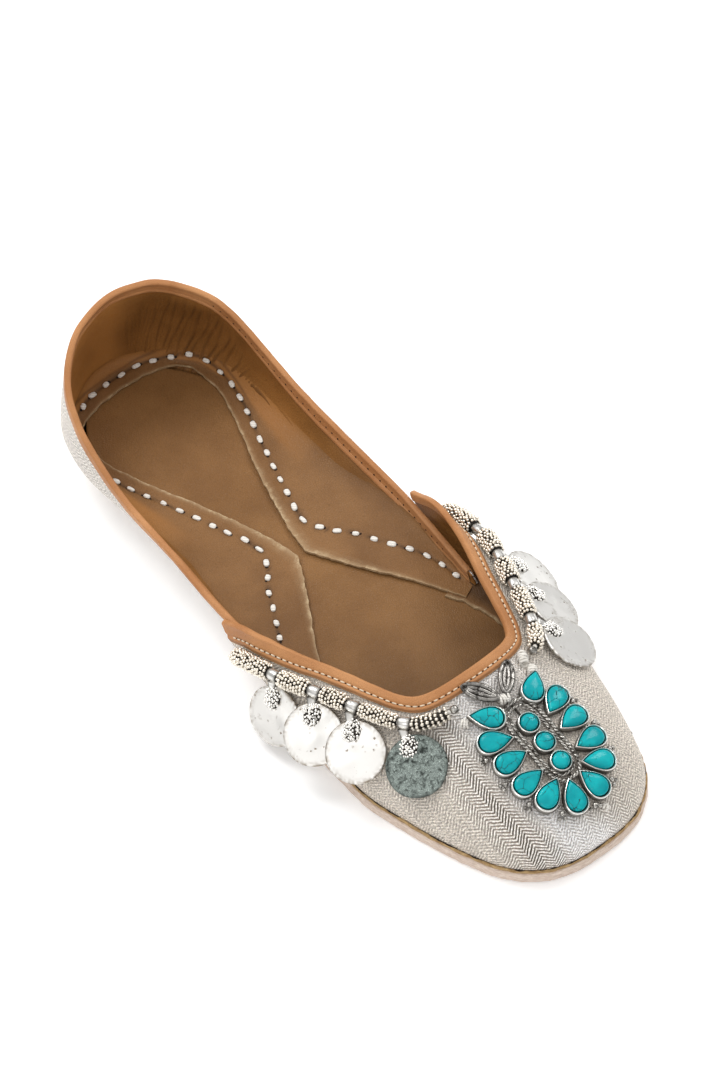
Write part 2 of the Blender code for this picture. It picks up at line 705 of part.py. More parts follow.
def brooch_settings(skin):
    """Every setting's cup and stone, placed on the vamp."""
    placed = []
    for number, row in enumerate(DROP_ROWS, 1):
        for side, sign in SIDES.items():
            across, station, point_across, point_station = row
            foot, normal = on_vamp(skin, BROOCH_ACROSS + sign * across, station)
            crest = on_vamp(skin, BROOCH_ACROSS, station)[1]
            normal = unit(normal + (crest - normal) * BROOCH_FLAT)
            heading = np.array([sign * (point_across - across), station - point_station, 0.0])
            ahead = unit(heading - normal * (heading @ normal))
            frame = np.stack([ahead, np.cross(normal, ahead), normal])
            base = foot + normal * CUP_LIFT + ahead * DROP_SHIFT
            outer = drop_outline(DROP_LENGTH, DROP_WIDTH)
            inner = drop_outline(DROP_LENGTH - 1.6 * BEZEL_WALL, DROP_WIDTH - 1.2 * BEZEL_WALL)
            solids = setting(outer, inner)
            placed.append((f"stone_drop_{side}_{number}", *((base + p @ frame, f) for p, f in solids)))
    for number, station in enumerate(ROUND_STATIONS, 1):
        foot, normal = on_vamp(skin, BROOCH_ACROSS, station)
        ahead = unit(np.cross(np.array([1.0, 0.0, 0.0]), normal))
        frame = np.stack([np.cross(ahead, normal), ahead, normal])
        base = foot + normal * BROOCH_LIFT
        solids = setting(round_outline(ROUND_RADIUS), round_outline(ROUND_RADIUS - BEZEL_WALL))
        placed.append((f"stone_round_{number}", *((base + p @ frame, f) for p, f in solids)))
    return placed


def wire_over(skin, plan, lift):
    """A path over the vamp through points of the plan."""
    path = []
    for across, station in plan:
        foot, normal = on_vamp(skin, across, station)
        path.append(foot + normal * lift)
    return np.array(path)


def make_brooch(skin, silver, turquoise):
    """The settings on their wires, with the stones in them."""
    lift = BROOCH_LIFT + WIRE_RADIUS + 0.2
    rope = [(BROOCH_ACROSS - x, s) for x, s in ROPE_ROWS[:0:-1]]
    rope += [(BROOCH_ACROSS + x, s) for x, s in ROPE_ROWS]
    solids = [tube(wire_over(skin, rope, lift), WIRE_RADIUS, 6, closed=True)]
    top, bottom = ROPE_ROWS[0][1], ROPE_ROWS[-1][1]
    spine = [(BROOCH_ACROSS, station) for station in np.linspace(top, bottom, 6)]
    solids.append(tube(wire_over(skin, spine, BROOCH_LIFT + SPINE_RADIUS), SPINE_RADIUS, 4))
    solids.append(ball(wire_over(skin, spine[:1], BROOCH_LIFT + KNOB_RADIUS)[0], KNOB_RADIUS))
    placed = brooch_settings(skin)
    solids += [cup for _, cup, _ in placed]
    fuse("brooch_frame", solids, silver)
    for name, _, stone in placed:
        make_object(name, *stone, turquoise)


def make_leaf_loops(skin, silver):
    """Two almond-shaped wire loops between the throat and the brooch."""
    for side, (top_across, top_station, low_across, low_station) in LEAF_LOOPS.items():
        top, low = np.array([top_across, top_station]), np.array([low_across, low_station])
        along = low - top
        across = np.array([-along[1], along[0]]) / np.linalg.norm(along)
        angle = np.linspace(0, tau, 12, endpoint=False)
        plan = [(top + low) / 2 - along / 2 * cos(a) + across * LEAF_WIDTH * sin(a) * abs(sin(a)) ** 0.4
                for a in angle]
        wire = tube(wire_over(skin, plan, LEAF_LIFT), LEAF_WIRE, 5, closed=True)
        make_object(f"leaf_loop_{side}", *wire, silver)


def clear_scene():
    for item in list(bpy.data.objects):
        bpy.data.objects.remove(item)


def main():
    clear_scene()
    pale = finish_material("sole_leather", (0.72, 0.60, 0.50), 0.8)
    ochre = finish_material("ochre_layer", (0.62, 0.42, 0.16), 0.7)
    cloth = finish_material("silver_weave", (0.62, 0.57, 0.51), 0.45, 0.3)
    brown = finish_material("brown_leather", (0.24, 0.14, 0.07), 0.5)
    tan = finish_material("tan_leather", (0.55, 0.27, 0.13), 0.5)
    silver = finish_material("old_silver", (0.70, 0.69, 0.66), 0.35, 1.0)
    thread = finish_material("thread", (0.75, 0.70, 0.60), 0.8)
    turquoise = finish_material("turquoise", (0.03, 0.52, 0.50), 0.3)

    make_outsole(pale)
    make_midsole(ochre)
    make_insole(brown)
    make_lining_margin(brown)
    vamp_turns, quarter_turns = np.linspace(-1, 1, 39), np.linspace(-1, 1, 35)
    vamp = VAMP.shell(vamp_turns, np.linspace(0, 1, 10), WALL)
    quarter = QUARTER.shell(quarter_turns, np.linspace(0, 1, 7), WALL)
    fuse("upper", [vamp, quarter], cloth)
    make_binding("quarter_binding", QUARTER, QUARTER_BINDING, quarter_turns, tan)
    make_binding("vamp_binding", VAMP, VAMP_BINDING, vamp_turns, tan)

    skin = vamp_skin()
    swings = {}
    for side in SIDES:
        places, runs = make_string(side, silver, thread)
        swings.update(make_coins(side, places, runs, skin, silver))
    make_brooch(skin, silver, turquoise)
    make_leaf_loops(skin, silver)

    shoe = bpy.data.objects.new("jutti", None)
    bpy.context.collection.objects.link(shoe)
    for item in bpy.data.objects:
        if item is not shoe:
            item.parent = shoe
    return swings


SWINGS = main()
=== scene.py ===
# %% [markdown]
# # A jutti with silver strings and a stone brooch
# A jutti is a flat slip-on shoe: a woven upper lined with leather, bound along its edges and sewn to a
# leather sole. This one also wears two strings of silver beads with coins, and a brooch of blue stones.
# The CAD model comes first and stays as it is. Each piece made below lies where its solid lies and rides
# on that solid's body, so the coins swing here just as they do in the simulation.

# %% Load the packed shoe
from math import cos, pi, radians, sin, tau

import bpy
import numpy as np
from mathutils import Matrix, Vector
from mathutils.bvhtree import BVHTree


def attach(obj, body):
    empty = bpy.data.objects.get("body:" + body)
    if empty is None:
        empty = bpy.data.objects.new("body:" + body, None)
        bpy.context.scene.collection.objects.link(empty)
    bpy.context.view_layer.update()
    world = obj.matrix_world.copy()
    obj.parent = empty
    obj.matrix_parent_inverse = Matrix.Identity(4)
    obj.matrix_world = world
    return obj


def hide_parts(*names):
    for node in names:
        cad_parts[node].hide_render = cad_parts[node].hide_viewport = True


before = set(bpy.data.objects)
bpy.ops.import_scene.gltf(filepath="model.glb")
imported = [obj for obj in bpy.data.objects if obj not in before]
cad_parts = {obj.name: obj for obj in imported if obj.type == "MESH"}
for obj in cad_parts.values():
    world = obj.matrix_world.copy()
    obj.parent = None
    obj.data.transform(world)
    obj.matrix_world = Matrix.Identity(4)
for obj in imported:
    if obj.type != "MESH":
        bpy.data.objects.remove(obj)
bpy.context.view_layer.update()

# %% [markdown]
# ## The camera
# The picture looks down on the shoe from its right front with a long lens, so lines stay almost
# parallel. A camera could be placed by eye, but here it was fitted to the sole's outline and the collar,
# so it is given as an angle round the shoe, an angle above the floor, a small roll and a distance.

# %% Set up the camera
AZIMUTH, ELEVATION, ROLL = radians(-39.46), radians(52.489), radians(-1.298)
DISTANCE = 2.5
TARGET = Vector((0.02342, 0.02055, 0.0))
FOCAL_PIXELS, PICTURE_HEIGHT, SENSOR = 7746.87, 1080, 36.0

back = Vector((sin(AZIMUTH) * cos(ELEVATION), -cos(AZIMUTH) * cos(ELEVATION), sin(ELEVATION)))
level = Vector((cos(AZIMUTH), sin(AZIMUTH), 0.0))
rise = back.cross(level)
right = level * cos(ROLL) + rise * sin(ROLL)
up = rise * cos(ROLL) - level * sin(ROLL)
camera = bpy.data.objects.new("camera", bpy.data.cameras.new("camera"))
bpy.context.scene.collection.objects.link(camera)
facing = Matrix((right, up, back)).transposed().to_4x4()
camera.matrix_world = Matrix.Translation(TARGET + back * DISTANCE) @ facing
camera.data.sensor_width = SENSOR
camera.data.lens = FOCAL_PIXELS / PICTURE_HEIGHT * SENSOR
camera.data.clip_start, camera.data.clip_end = 0.1, 50.0
bpy.context.scene.camera = camera
print("lens", round(camera.data.lens, 1), "mm at", [round(c, 3) for c in camera.location])

# %% [markdown]
# ## Nodes without clutter
# A material in code is mostly nodes and links, which soon hides the idea behind it. A few small helpers
# keep it short. The first adds a node, sets it and feeds its inputs. Another builds a node group with
# named sockets, so that an effect such as grain is made once and placed wherever it is needed.

# %% Helpers for single nodes
def feed(tree, node, inputs):
    """Feed a node's inputs, by name or number: a socket is linked, a plain value is set."""
    for key, value in inputs.items():
        socket = node.inputs[key.replace("_", " ") if isinstance(key, str) else key]
        if isinstance(value, bpy.types.NodeSocket):
            tree.links.new(value, socket)
        else:
            socket.default_value = value


def add(tree, kind, inputs=None, **settings):
    """Add a shader node, set its properties and feed its inputs."""
    made = tree.nodes.new("ShaderNode" + kind)
    for key, value in settings.items():
        setattr(made, key, value)
    feed(tree, made, inputs or {})
    return made


def calc(tree, operation, *values):
    """The result of a Math node."""
    return add(tree, "Math", dict(enumerate(values)), operation=operation).outputs[0]


def blend_colours(tree, factor, first, second, blend_type="MIX"):
    """Two colours mixed by a factor."""
    made = add(tree, "Mix", {0: factor, 6: first, 7: second}, data_type="RGBA", blend_type=blend_type)
    return made.outputs[2]


def ramp(tree, value, low, high, to_low=0.0, to_high=1.0):
    """A value stretched from one range to another with a smooth step."""
    inputs = {0: value, 1: low, 2: high, 3: to_low, 4: to_high}
    return add(tree, "MapRange", inputs, interpolation_type="SMOOTHSTEP").outputs[0]


print("node helpers ready")


# %% Helpers for patterns
def noise(tree, place, scale, detail, **more):
    """A noise texture's value."""
    return add(tree, "TexNoise", {"Vector": place, "Scale": scale, "Detail": detail, **more}).outputs[0]


def attribute(tree, name):
    """A value stored on the mesh."""
    return add(tree, "Attribute", attribute_name=name).outputs["Fac"]


def object_place(tree):
    """Where a point lies on its piece, in metres."""
    return add(tree, "TexCoord").outputs["Object"]


def bump(tree, height, distance):
    """A normal from a height; distance is the relief's depth in metres."""
    return add(tree, "Bump", {"Height": height, "Distance": distance, "Strength": 1.0}).outputs["Normal"]


print("pattern helpers ready")


# %% Helpers for groups and materials
def start_group(name, inputs, outputs):
    """A node group with named sockets: its tree, its inputs by name, and a way to give its outputs."""
    tree = bpy.data.node_groups.new(name, "ShaderNodeTree")
    for socket, kind, value in inputs:
        made = tree.interface.new_socket(socket, in_out="INPUT", socket_type="NodeSocket" + kind)
        if value is not None:
            made.default_value = value
    for socket, kind in outputs:
        tree.interface.new_socket(socket, in_out="OUTPUT", socket_type="NodeSocket" + kind)
    given = tree.nodes.new("NodeGroupInput").outputs
    result = tree.nodes.new("NodeGroupOutput").inputs

    def give(**values):
        for socket, value in values.items():
            tree.links.new(value, result[socket])
    return tree, given, give


def place_group(tree, group, **inputs):
    """One group placed in a material with its own values; its outputs by name."""
    made = tree.nodes.new("ShaderNodeGroup")
    made.node_tree = group
    feed(tree, made, inputs)
    return made.outputs


def start_material(name, **values):
    """A new material with its plain values set: its tree and its Principled shader."""
    material = bpy.data.materials.new(name)
    material.use_nodes = True
    shader = material.node_tree.nodes["Principled BSDF"]
    feed(material.node_tree, shader, values)
    return material, material.node_tree, shader


print("group and material helpers ready")

# %% [markdown]
# ## Floor and light
# The shoe stands on a white sweep under soft light, so shadows are faint and hug the sole. A white world
# alone would leave the silver without any dark to mirror, so the sky is bright above and greyer towards
# the horizon. A key lamp behind the heel and one on either side give the leather and the metal their
# sheen, and the floor glows a little, as a lit sweep does, so that its shadows stay pale.

# %% Make the stage
FLOOR_HALF, FLOOR_WHITE, FLOOR_GLOW = 4.0, (0.9, 0.9, 0.9, 1), 0.2
SKY_HORIZON, SKY_TOP, SKY_FULL = 0.30, 1.0, 0.85
LAMPS = (
    # name, place, aim, size, power
    ("key", (-0.20, 1.00, 1.40), (0.0, 0.0, 0.0), 0.7, 11.0),
    ("fill", (-1.5, -0.6, 1.0), (0.0, -0.03, 0.02), 0.7, 5.0),
    ("far", (1.25, 0.1, 1.35), (0.0, -0.02, 0.02), 0.7, 9.0),
)

floor_mesh = bpy.data.meshes.new("floor")
corners = [(x * FLOOR_HALF, y * FLOOR_HALF, 0.0) for x, y in ((-1, -1), (1, -1), (1, 1), (-1, 1))]
floor_mesh.from_pydata(corners, [], [(0, 1, 2, 3)])
floor = bpy.data.objects.new("floor", floor_mesh)
bpy.context.scene.collection.objects.link(floor)
floor_paint, _, _ = start_material("floor_paint", Base_Color=FLOOR_WHITE, Roughness=0.9,
                                   Specular_IOR_Level=0.0, Emission_Color=(1, 1, 1, 1),
                                   Emission_Strength=FLOOR_GLOW)
floor_mesh.materials.append(floor_paint)

for name, place, aim, size, power in LAMPS:
    lamp = bpy.data.objects.new(name, bpy.data.lights.new(name, "AREA"))
    lamp.data.size, lamp.data.energy = size, power
    lamp.location = place
    lamp.rotation_euler = (Vector(aim) - Vector(place)).to_track_quat("-Z", "Y").to_euler()
    bpy.context.scene.collection.objects.link(lamp)

world = bpy.data.worlds.new("studio")
world.use_nodes = True
bpy.context.scene.world = world
sky = world.node_tree
heading = add(sky, "TexCoord").outputs["Generated"]
height = add(sky, "SeparateXYZ", {0: heading}).outputs["Z"]
sky_light = ramp(sky, height, 0.0, SKY_FULL, SKY_HORIZON, SKY_TOP)
sky.nodes["Background"].inputs["Color"].default_value = (1.0, 1.0, 1.0, 1.0)
sky.links.new(sky_light, sky.nodes["Background"].inputs["Strength"])
bpy.context.scene.view_settings.view_transform = "Standard"
print("stage with", len(LAMPS), "lamps")

# %% [markdown]
# ## The last's shape
# The CAD solids are faceted so that they stay light. For a close look the same surfaces are worked out
# again with many more points, from the same short tables: half widths of the sole, and ribs that fall
# from an edge of the upper to its foot on the sole. A smooth curve runs through each column of a table.
# Sizes are in millimetres, and a station is a distance along the shoe from the back of the heel.

# %% Curves through tables
def smooth_curve(knots, values, at):
    """A smooth curve through a table's rows that never swings past them."""
    knots, values, at = (np.asarray(a, float) for a in (knots, values, at))
    step = np.diff(knots)
    slope_of = np.diff(values) / step
    slope = np.concatenate([slope_of[:1], np.zeros(len(slope_of) - 1), slope_of[-1:]])
    same_way = slope_of[:-1] * slope_of[1:] > 0
    before, after = slope_of[:-1][same_way], slope_of[1:][same_way]
    slope[1:-1][same_way] = 2 * before * after / (before + after)
    span = np.clip(np.searchsorted(knots, at) - 1, 0, len(step) - 1)
    u = (at - knots[span]) / step[span]
    from_low = values[span] * (1 + 2 * u) * (1 - u) ** 2 + slope[span] * step[span] * u * (1 - u) ** 2
    from_high = values[span + 1] * u * u * (3 - 2 * u) - slope[span + 1] * step[span] * u * u * (1 - u)
    return from_low + from_high


def fade(value, start, end):
    """0 before start and 1 after end, with a smooth step between."""
    u = np.clip((np.asarray(value, float) - start) / (end - start), 0, 1)
    return u * u * (3 - 2 * u)


def unit(vectors):
    """Vectors made one long."""
    return vectors / np.linalg.norm(vectors, axis=-1, keepdims=True)


def run_along(path):
    """The distance along a path at each of its points."""
    return np.concatenate([[0], np.cumsum(np.linalg.norm(np.diff(path, axis=0), axis=1))])


def around(count):
    """Angles at even steps round a circle."""
    return np.linspace(0, tau, count, endpoint=False)


print("halfway up a smooth step:", fade(0.5, 0, 1))

# %% The sole's outline
MM = 0.001
LENGTH, SOLE_BACK, MIDDLE = 251.0, 3.0, 126.2
GAP, WALL = 0.3, 1.8
TOE_SPRING, TOE_START = 0.8, 222
ARCH_RISE, ARCH_SPAN = 0.8, (60, 90, 105, 140)
BALL_STATION = 185
SOLE_ROWS = (
    # station, half width before the ends are rounded
    (3, 25.0), (40, 26.0), (65, 25.2), (85, 25.3), (100, 27.5), (120, 33.0), (140, 38.8),
    (160, 43.0), (185, 44.3), (205, 40.9), (222, 36.2), (236, 30.9), (251, 25.0),
)
HEEL_ROUND, HEEL_POWER = 37.0, 2.2
TOE_ROUND, TOE_POWER = 22.0, 2.8


def stand(points):
    """Lift what lies over the waist and the toe, so that the sole rests on heel and forefoot."""
    points = np.array(points, float)
    station = MIDDLE - points[:, 1]
    arch = fade(station, *ARCH_SPAN[:2]) * (1 - fade(station, *ARCH_SPAN[2:]))
    toe = np.clip((station - TOE_START) / (LENGTH - TOE_START), 0, None) ** 2
    points[:, 2] += ARCH_RISE * arch + TOE_SPRING * toe
    return points


def half_width(station):
    """Half width of the sole, with its heel and its square toe rounded off."""
    station = np.asarray(station, float)
    width = smooth_curve(*np.array(SOLE_ROWS, float).T, station)
    to_heel = np.clip(1 - (station - SOLE_BACK) / HEEL_ROUND, 0, 1)
    to_toe = np.clip(1 - (LENGTH - station) / TOE_ROUND, 0, 1)
    heel_cap = (1 - to_heel ** HEEL_POWER) ** (1 / HEEL_POWER)
    toe_cap = (1 - to_toe ** TOE_POWER) ** (1 / TOE_POWER)
    return width * heel_cap * toe_cap


print("sole:", 2 * half_width(BALL_STATION).round(1), "mm wide at the ball,", LENGTH - SOLE_BACK, "mm long")

# %% Walk along the outline
NUDGE = 0.02


def outline_frame(side, station):
    """Points of the sole's outline and its outward normals, in plan."""
    ahead = np.minimum(station + NUDGE, LENGTH)
    behind = np.maximum(station - NUDGE, SOLE_BACK)
    place = np.stack([side * half_width(station), MIDDLE - station], axis=-1)
    run = np.stack([side * (half_width(ahead) - half_width(behind)), behind - ahead], axis=-1)
    normal = unit(np.stack([-run[:, 1], run[:, 0]], axis=-1)) * side[:, None]
    at_tip = half_width(station) < 1e-6
    normal[at_tip] = np.where(station[at_tip, None] > LENGTH / 2, [[0.0, -1.0]], [[0.0, 1.0]])
    return place, normal


def inset_outline(count, inset):
    """The closed outline, counterclockwise from the heel's back, moved in by inset."""
    station = SOLE_BACK + (LENGTH - SOLE_BACK) * (1 - np.cos(np.linspace(0, pi, count))) / 2
    place, normal = outline_frame(np.ones(count), station)
    half = place - normal * inset
    return np.concatenate([half, half[-2:0:-1] * [-1, 1]])[::-1]


print("the whole outline in steps of 90 a side:", len(inset_outline(90, 0.0)), "points")

# %% Tables of ribs
FOOT_LEVEL, QUARTER_LIFT = 6.0, 0.25
RIB_COLUMNS = (
    "turn", "edge_across", "edge_station", "edge_height", "foot_station", "foot_inset", "foot_lift",
    "fall_run", "fall_drop", "belly_out", "belly_up",
)
VAMP_ROWS = (
    (0.00, 0.0, 189.0, 37.0, 251, 0.8, 0, 22, 9.5, 2.0, 18),
    (0.16, 10.0, 187.7, 35.2, 243.5, 0.8, 0, 19, 8.5, 1.5, 16),
    (0.30, 18.3, 184.0, 31.8, 226, 0.8, 0, 16, 7.5, 0.0, 13),
    (0.40, 21.8, 179.0, 30.2, 207, 0.8, 0, 14, 7.0, 0.0, 11.5),
    (0.50, 25.2, 170.0, 29.4, 188, 0.8, 0, 12, 6.5, 3.0, 11),
    (0.60, 28.4, 160.5, 29.0, 172, 0.8, 0, 10, 6.0, 7.5, 10.5),
    (0.80, 36.5, 138.0, 27.6, 147, 0.8, 0, 6, 5.0, 10.0, 10),
    (0.90, 39.4, 125.0, 24.6, 136, 0.8, 0, 4, 5.0, 11.0, 9),
    (1.00, 40.0, 112.7, 17.6, 125, 0.8, 0, 2, 4.0, 11.0, 6),
)
QUARTER_ROWS = (
    (0.000, 0.0, 9.0, 54.3, 3, 0.8, 0, 5.0, 16, 3.5, 16),
    (0.125, 13.2, 11.3, 52.8, 6, 0.8, 0, 4.0, 15, 4.0, 15),
    (0.250, 24.4, 18.0, 48.2, 13, 0.8, 0, 2.0, 13, 8.0, 13),
    (0.375, 31.9, 28.2, 42.2, 24, 0.8, 0, 0.5, 12, 13.5, 10),
    (0.500, 34.8, 40.0, 34.8, 38, 0.8, 0, 0.0, 10, 14.0, 8),
    (0.650, 36.2, 60.0, 26.0, 60, 0.8, 0, -0.8, 8, 10.0, 6),
    (0.770, 36.6, 82.0, 21.7, 82, 0.8, 0, -0.9, 6, 6.0, 5),
    (0.880, 37.5, 108.0, 17.4, 108, 0.8, 0, -0.6, 4, 5.0, 4),
    (0.950, 36.4, 128.0, 16.0, 128, 0.8, 0, 0.0, 3, 2.0, 4),
    (1.000, 34.5, 149.0, 14.8, 149, 6.2, 5.3, 0.0, 1, 0.0, 1),
)


print(len(VAMP_ROWS), "ribs for half the vamp,", len(QUARTER_ROWS), "for half the quarter")


# %% Walls from ribs
class Wall:
    """An outer face of the upper: a turn goes round the shoe, a fall or drop goes down from its edge."""

    def __init__(self, rows, foot_height, fans_out):
        self.table = np.array(rows, float).T
        self.foot_height, self.fans_out = foot_height, fans_out

    def column(self, name, turn):
        """A column of the table, mirrored to the other side, at each turn."""
        values, turns = self.table[RIB_COLUMNS.index(name)], self.table[0]
        sign = -1 if name == "edge_across" else 1
        knots = np.concatenate([-turns[:0:-1], turns])
        return smooth_curve(knots, np.concatenate([sign * values[:0:-1], values]), turn)

    def controls(self, turn):
        """The four control points of each rib: edge, leaving it, arriving at the foot, foot."""
        v = {name: self.column(name, turn) for name in RIB_COLUMNS[1:]}
        edge = np.stack([v["edge_across"], MIDDLE - v["edge_station"], v["edge_height"]], axis=-1)
        plan, outward = outline_frame(np.where(turn < 0, -1.0, 1.0), v["foot_station"])
        plan = plan - outward * v["foot_inset"][:, None]
        foot_level = self.foot_height + v["foot_lift"][:, None]
        foot = np.concatenate([plan, foot_level], axis=1)
        outward = np.concatenate([outward, 0 * foot_level], axis=1)
        lift = np.array([0.0, 0.0, 1.0])
        away = unit((foot - edge) * [1, 1, 0]) if self.fans_out else outward
        leave = edge + away * v["fall_run"][:, None] - lift * v["fall_drop"][:, None]
        arrive = foot + outward * v["belly_out"][:, None] + lift * v["belly_up"][:, None]
        return edge, leave, arrive, foot

    def at(self, turn, fall):
        """Points at a share of each rib's fall, from 0 at the edge to 1 at the foot."""
        edge, leave, arrive, foot = self.controls(np.asarray(turn, float))
        f = np.asarray(fall, float)[:, None]
        g = 1 - f
        return edge * g ** 3 + leave * 3 * f * g ** 2 + arrive * 3 * f * f * g + foot * f ** 3

    def normal(self, turn, fall):
        """Outward normals."""
        step = 1e-3
        down = self.at(turn, np.clip(fall + step, 0, 1)) - self.at(turn, np.clip(fall - step, 0, 1))
        across = self.at(np.clip(turn + step, -1, 1), fall) - self.at(np.clip(turn - step, -1, 1), fall)
        return unit(np.cross(down, across)) * (1 if self.fans_out else -1)

    def drops(self, turn, shares):
        """Distance down each rib at each share of its fall."""
        path = np.stack([self.at(turn, np.full(len(turn), s)) for s in shares])
        length = np.cumsum(np.linalg.norm(np.diff(path, axis=0), axis=2), axis=0)
        return np.concatenate([np.zeros((1, len(turn))), length])

    def fall_of_drop(self, turn, drop):
        """The share of each rib's fall at a drop."""
        shares = np.linspace(0, 1, 41)
        length = self.drops(turn, shares)
        return np.array([np.interp(d, length[:, i], shares) for i, d in enumerate(drop)])

    def place(self, turn, drop, out):
        """Points at a drop below the edge (above it where negative) and a height out of the face."""
        turn = np.asarray(turn, float)
        drop = np.broadcast_to(np.asarray(drop, float), turn.shape)
        out = np.broadcast_to(np.asarray(out, float), turn.shape)[:, None]
        fall = self.fall_of_drop(turn, np.maximum(drop, 0))
        down = unit(self.at(turn, np.full(turn.shape, 0.01)) - self.at(turn, np.zeros(turn.shape)))
        above = down * np.minimum(drop, 0)[:, None]
        return self.at(turn, fall) + above + self.normal(turn, fall) * out


print("a wall answers:", [name for name in vars(Wall) if not name.startswith("_")])

# %% The two walls
VAMP = Wall(VAMP_ROWS, FOOT_LEVEL, fans_out=True)
QUARTER = Wall(QUARTER_ROWS, FOOT_LEVEL + QUARTER_LIFT, fans_out=False)
throat_point = VAMP.at(np.zeros(1), np.zeros(1))[0]
print("throat at", throat_point.round(1), "and toe at", VAMP.at(np.zeros(1), np.ones(1))[0].round(1))

# %% [markdown]
# ## Making a piece
# Every piece is a mesh worked out as points and faces in millimetres. One helper turns it into an object
# in metres, lets it ride on its CAD body, names its material slot and hides the solid it stands for.
# Numbers that a material needs at each point, such as a place on the flat cut of the cloth, are stored
# on the mesh as named attributes, because they then follow the surface however it bends.

# %% Helpers for meshes
def closed_sheet(outer, inner, columns, rows):
    """Two grids of points joined into one closed skin: both faces and the border between them."""
    n = columns * rows
    first = []
    for i in range(columns - 1):
        for j in range(rows - 1):
            a = i * rows + j
            first.append((a, a + 1, a + rows + 1, a + rows))
    border = [i * rows for i in range(columns)] + [(columns - 1) * rows + j for j in range(1, rows)]
    border += [i * rows + rows - 1 for i in range(columns - 2, -1, -1)] + list(range(rows - 2, 0, -1))
    second = [tuple(k + n for k in quad[::-1]) for quad in first]
    rim = [(a, b, b + n, a + n) for a, b in zip(border, border[1:] + border[:1])]
    return np.concatenate([outer, inner]), first + second + rim


def ring_faces(rings, count, closed_ends=True):
    """Faces between rings of points in a row, with the two end rings filled."""
    faces = []
    for r in range(rings - 1):
        for i in range(count):
            a, b = r * count + i, r * count + (i + 1) % count
            faces.append((a, b, b + count, a + count))
    if closed_ends:
        last = (rings - 1) * count
        faces += [tuple(range(count))[::-1], tuple(range(last, last + count))]
    return faces


def joined(solids):
    """Several solids as one list of points and faces."""
    points, faces, start = [], [], 0
    for some_points, some_faces in solids:
        points.append(np.asarray(some_points, float))
        faces += [tuple(k + start for k in face) for face in some_faces]
        start += len(some_points)
    return np.concatenate(points), faces


print("mesh helpers ready")


# %% From points and faces to a piece
def make_piece(name, solid, material, replaced=(), body="shoe", attributes=None, sharp=None,
               standing=False):
    """One visible piece from points and faces in millimetres."""
    points, faces = solid
    points = (np.asarray(points, float) if standing else stand(points)) * MM
    mesh = bpy.data.meshes.new(name)
    mesh.from_pydata(points.tolist(), [], faces)
    mesh.shade_smooth()
    if sharp:
        mesh.set_sharp_from_angle(angle=radians(sharp))
    mesh.materials.append(material)
    for key, values in (attributes or {}).items():
        values = np.asarray(values, np.float32)
        kind = "FLOAT_VECTOR" if values.ndim == 2 else "FLOAT"
        made = mesh.attributes.new(key, kind, "POINT")
        made.data.foreach_set("vector" if values.ndim == 2 else "value", values.ravel())
    piece = bpy.data.objects.new(name, mesh)
    bpy.context.scene.collection.objects.link(piece)
    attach(piece, body)
    if replaced:
        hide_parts(*replaced)
    print(name, len(mesh.polygons), "faces on", body)


def doubled(marks):
    """Values at the points of a skin's first face, given to its second face too."""
    return {key: np.concatenate([mark, mark]) for key, mark in marks.items()}


def soft_noise(points, size, seed):
    """Smooth noise between about -1 and 1 from a few seeded waves, so that every run is the same."""
    random = np.random.default_rng(seed)
    total = np.zeros(len(points))
    for _ in range(9):
        wave = unit(random.normal(size=3)) * tau / size * random.uniform(0.6, 1.6)
        total += np.sin(points @ wave + random.uniform(0, tau))
    return total / 4.5


print("pieces are made in millimetres and kept in metres:", MM)

# %% [markdown]
# ## The woven upper
# The outside of the shoe is a silvery cloth in herringbone: slanting ribs that turn back at every column,
# so they make zigzags along the shoe. Real ribs could be modelled, but at this size they are a finish. A
# node group draws them from the cloth's own flat coordinates and puts out the ribs, their height and
# the two slants, because each slant catches the light in its own way.

# %% The herringbone group
COLUMN, RIB_PITCH, CROSSING_PITCH = 3.1, 1.35, 0.5


